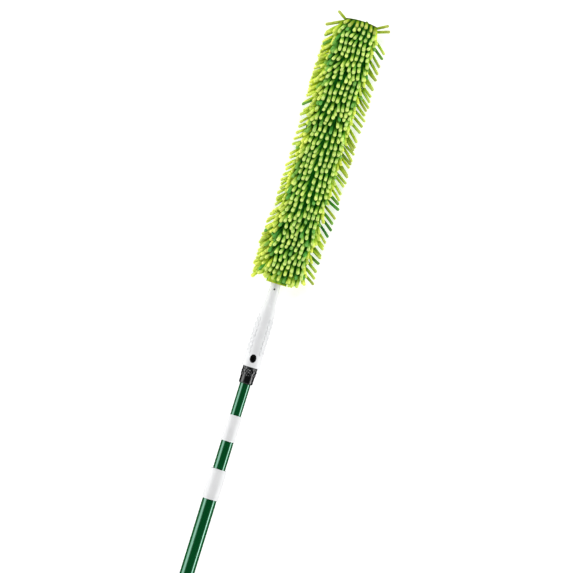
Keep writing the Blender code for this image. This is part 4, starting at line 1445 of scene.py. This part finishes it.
def make_seam(looks):
    """The bowed seam at the tip: a folded edge, bound with slanted stitches."""

    def place(share, z, back):
        bow = SEAM_BOW * (1 - share * share)
        return Vector((SEAM_CORNER + bow - back, SEAM_MIDDLE + SEAM_HALF * share, z))

    line = [place(-1 + 2 * i / SEAM_STEPS, 0, SEAM_BACK) for i in range(SEAM_STEPS + 1)]
    meshes = [grid_mesh("seam_edge", tube_along(line, SEAM_RADIUS, 10))]
    stitches = int(2 * SEAM_HALF / STITCH_PITCH)
    reach = SEAM_RADIUS + STITCH_RADIUS / 2
    for i in range(stitches):
        share = -0.97 + 1.94 * i / (stitches - 1)
        over = []
        for k in range(STITCH_STEPS + 1):
            a = math.radians(-80 + 160 * k / STITCH_STEPS)
            slant = 0.02 * (k / STITCH_STEPS - 0.5)
            over.append(place(share + slant, reach * math.sin(a), reach * (1 - math.cos(a))))
        meshes.append(grid_mesh(f"stitch_{i}", tube_along(over, STITCH_RADIUS, 6)))
    work = bmesh.new()
    for mesh in meshes:
        work.from_mesh(mesh)
    joined = worked(bpy.data.meshes.new("tip_seam"), work)
    joined.shade_smooth()
    piece = add_piece("tip_seam", joined, looks["thread"], "head_4")


# CAD nodes that stay as they are, inside the pole and the sleeve
CARRIED = {
    "lock": ("mid_lock_ring", "mid_lock_plug", "upper_lock_ring", "upper_lock_plug"),
    "core": ("core_link_1", "core_link_2", "core_link_3", "core_link_4"),
}


def paint_carried(looks):
    for key, nodes in CARRIED.items():
        for node in nodes:
            for material_slot in frame["nodes"][node].material_slots:
                material_slot.material = looks[key]


# Studio

FLOOR_HALF = 30.0

# Camera, at the photograph's angle: straight down on the wide face, turned by the pole's tilt
TILT = math.radians(17.143)
AIM = Vector((0.8458, -0.0185, 0))
CAMERA_DISTANCE = 5.52
LENS = 200
CLIP_NEAR = 0.1
CLIP_FAR = 200

# Name, place, aim, width, height and watts
LIGHTS = (
    ("strip_left", (0.72, 1.52, 0.58), (0.72, 0, 0), 2.8, 0.9, 18),
    ("strip_left_top", (0.72, 1.20, 1.02), (0.72, 0, 0), 2.8, 0.4, 2.6),
    ("strip_right", (0.72, -1.50, 0.27), (0.72, 0, 0), 2.8, 0.30, 16.5),
    ("key_head_end", (3.0, -0.35, 2.3), (0.9, 0, 0), 1.2, 1.2, 50),
    ("fill_handle_end", (-1.3, 0.3, 2.3), (0.9, 0, 0), 1.2, 1.2, 29),
)


def standing(place, side, up, back):
    """The matrix of a lamp or camera that looks away from `back`."""
    return Matrix.Translation(place) @ Matrix((side, up, back)).transposed().to_4x4()


def make_floor():
    work = bmesh.new()
    bmesh.ops.create_grid(work, x_segments=8, y_segments=8, size=FLOOR_HALF)
    for vert in work.verts:
        vert.co.z = cad_box[0].z - 0.2 * MM
    mesh = worked(bpy.data.meshes.new("floor"), work)
    look = Look("studio_floor", 0.9)
    look.fill(
        {
            "Base Color": look.mottled(0.6, 0.80, 0.82),
            "Specular IOR Level": 0.0,
            "Emission Color": (1, 1, 1, 1),
            "Emission Strength": 0.5,
        }
    )
    floor = add_piece("studio_floor", mesh, look.made)


def make_lights():
    for name, place, aim, width, height, watts in LIGHTS:
        data = bpy.data.lights.new(name, "AREA")
        data.shape = "RECTANGLE"
        data.size = width
        data.size_y = height
        data.energy = watts
        back = (Vector(place) - Vector(aim)).normalized()
        up = back.cross(Vector((1, 0, 0))).normalized()
        new_object(name, data).matrix_world = standing(place, up.cross(back), up, back)


def make_world():
    """Pale all round at the horizon and darker overhead, as in a room with a light tent."""
    world = bpy.data.worlds.new("studio")
    bpy.context.scene.world = world
    world.use_nodes = True
    tree = world.node_tree
    back = tree.nodes["Background"]
    place = tree.nodes.new("ShaderNodeTexCoord")
    split = tree.nodes.new("ShaderNodeSeparateXYZ")
    shade = tree.nodes.new("ShaderNodeValToRGB")
    for element, position, grey in zip(shade.color_ramp.elements, (0.12, 0.6), (0.95, 0.015)):
        element.position = position
        element.color = (grey, grey, grey, 1)
    tree.links.new(place.outputs["Generated"], split.inputs[0])
    tree.links.new(split.outputs["Z"], shade.inputs["Fac"])
    tree.links.new(shade.outputs["Color"], back.inputs["Color"])
    back.inputs["Strength"].default_value = 1.0


def make_camera():
    data = bpy.data.cameras.new("camera")
    data.lens = LENS
    data.clip_start = CLIP_NEAR
    data.clip_end = CLIP_FAR
    camera = new_object("camera", data)
    right = Vector((math.sin(TILT), -math.cos(TILT), 0))
    up = Vector((math.cos(TILT), math.sin(TILT), 0))
    back = Vector((0, 0, 1))
    camera.matrix_world = standing(AIM + back * CAMERA_DISTANCE, right, up, back)
    bpy.context.scene.camera = camera


def build():
    bpy.context.scene.view_settings.view_transform = "Standard"
    looks = make_looks()
    make_end_cap(looks)
    make_tube("lower_tube", "pole_lower", looks)
    make_ferrule("lower_ferrule", "lower_tube", "mid_tube", "pole_lower", looks)
    make_tube("mid_tube", "pole_mid", looks)
    make_ferrule("mid_ferrule", "mid_tube", "upper_tube", "pole_mid", looks)
    make_tube("upper_tube", "pole_upper", looks)
    make_collar(looks)
    make_grip(looks)
    make_button(looks)
    make_spring(looks)
    make_neck_pin(looks)
    make_hem(looks)
    make_backing(looks)
    make_fingers(looks)
    make_seam(looks)
    paint_carried(looks)
    make_floor()
    make_lights()
    make_world()
    make_camera()


build()
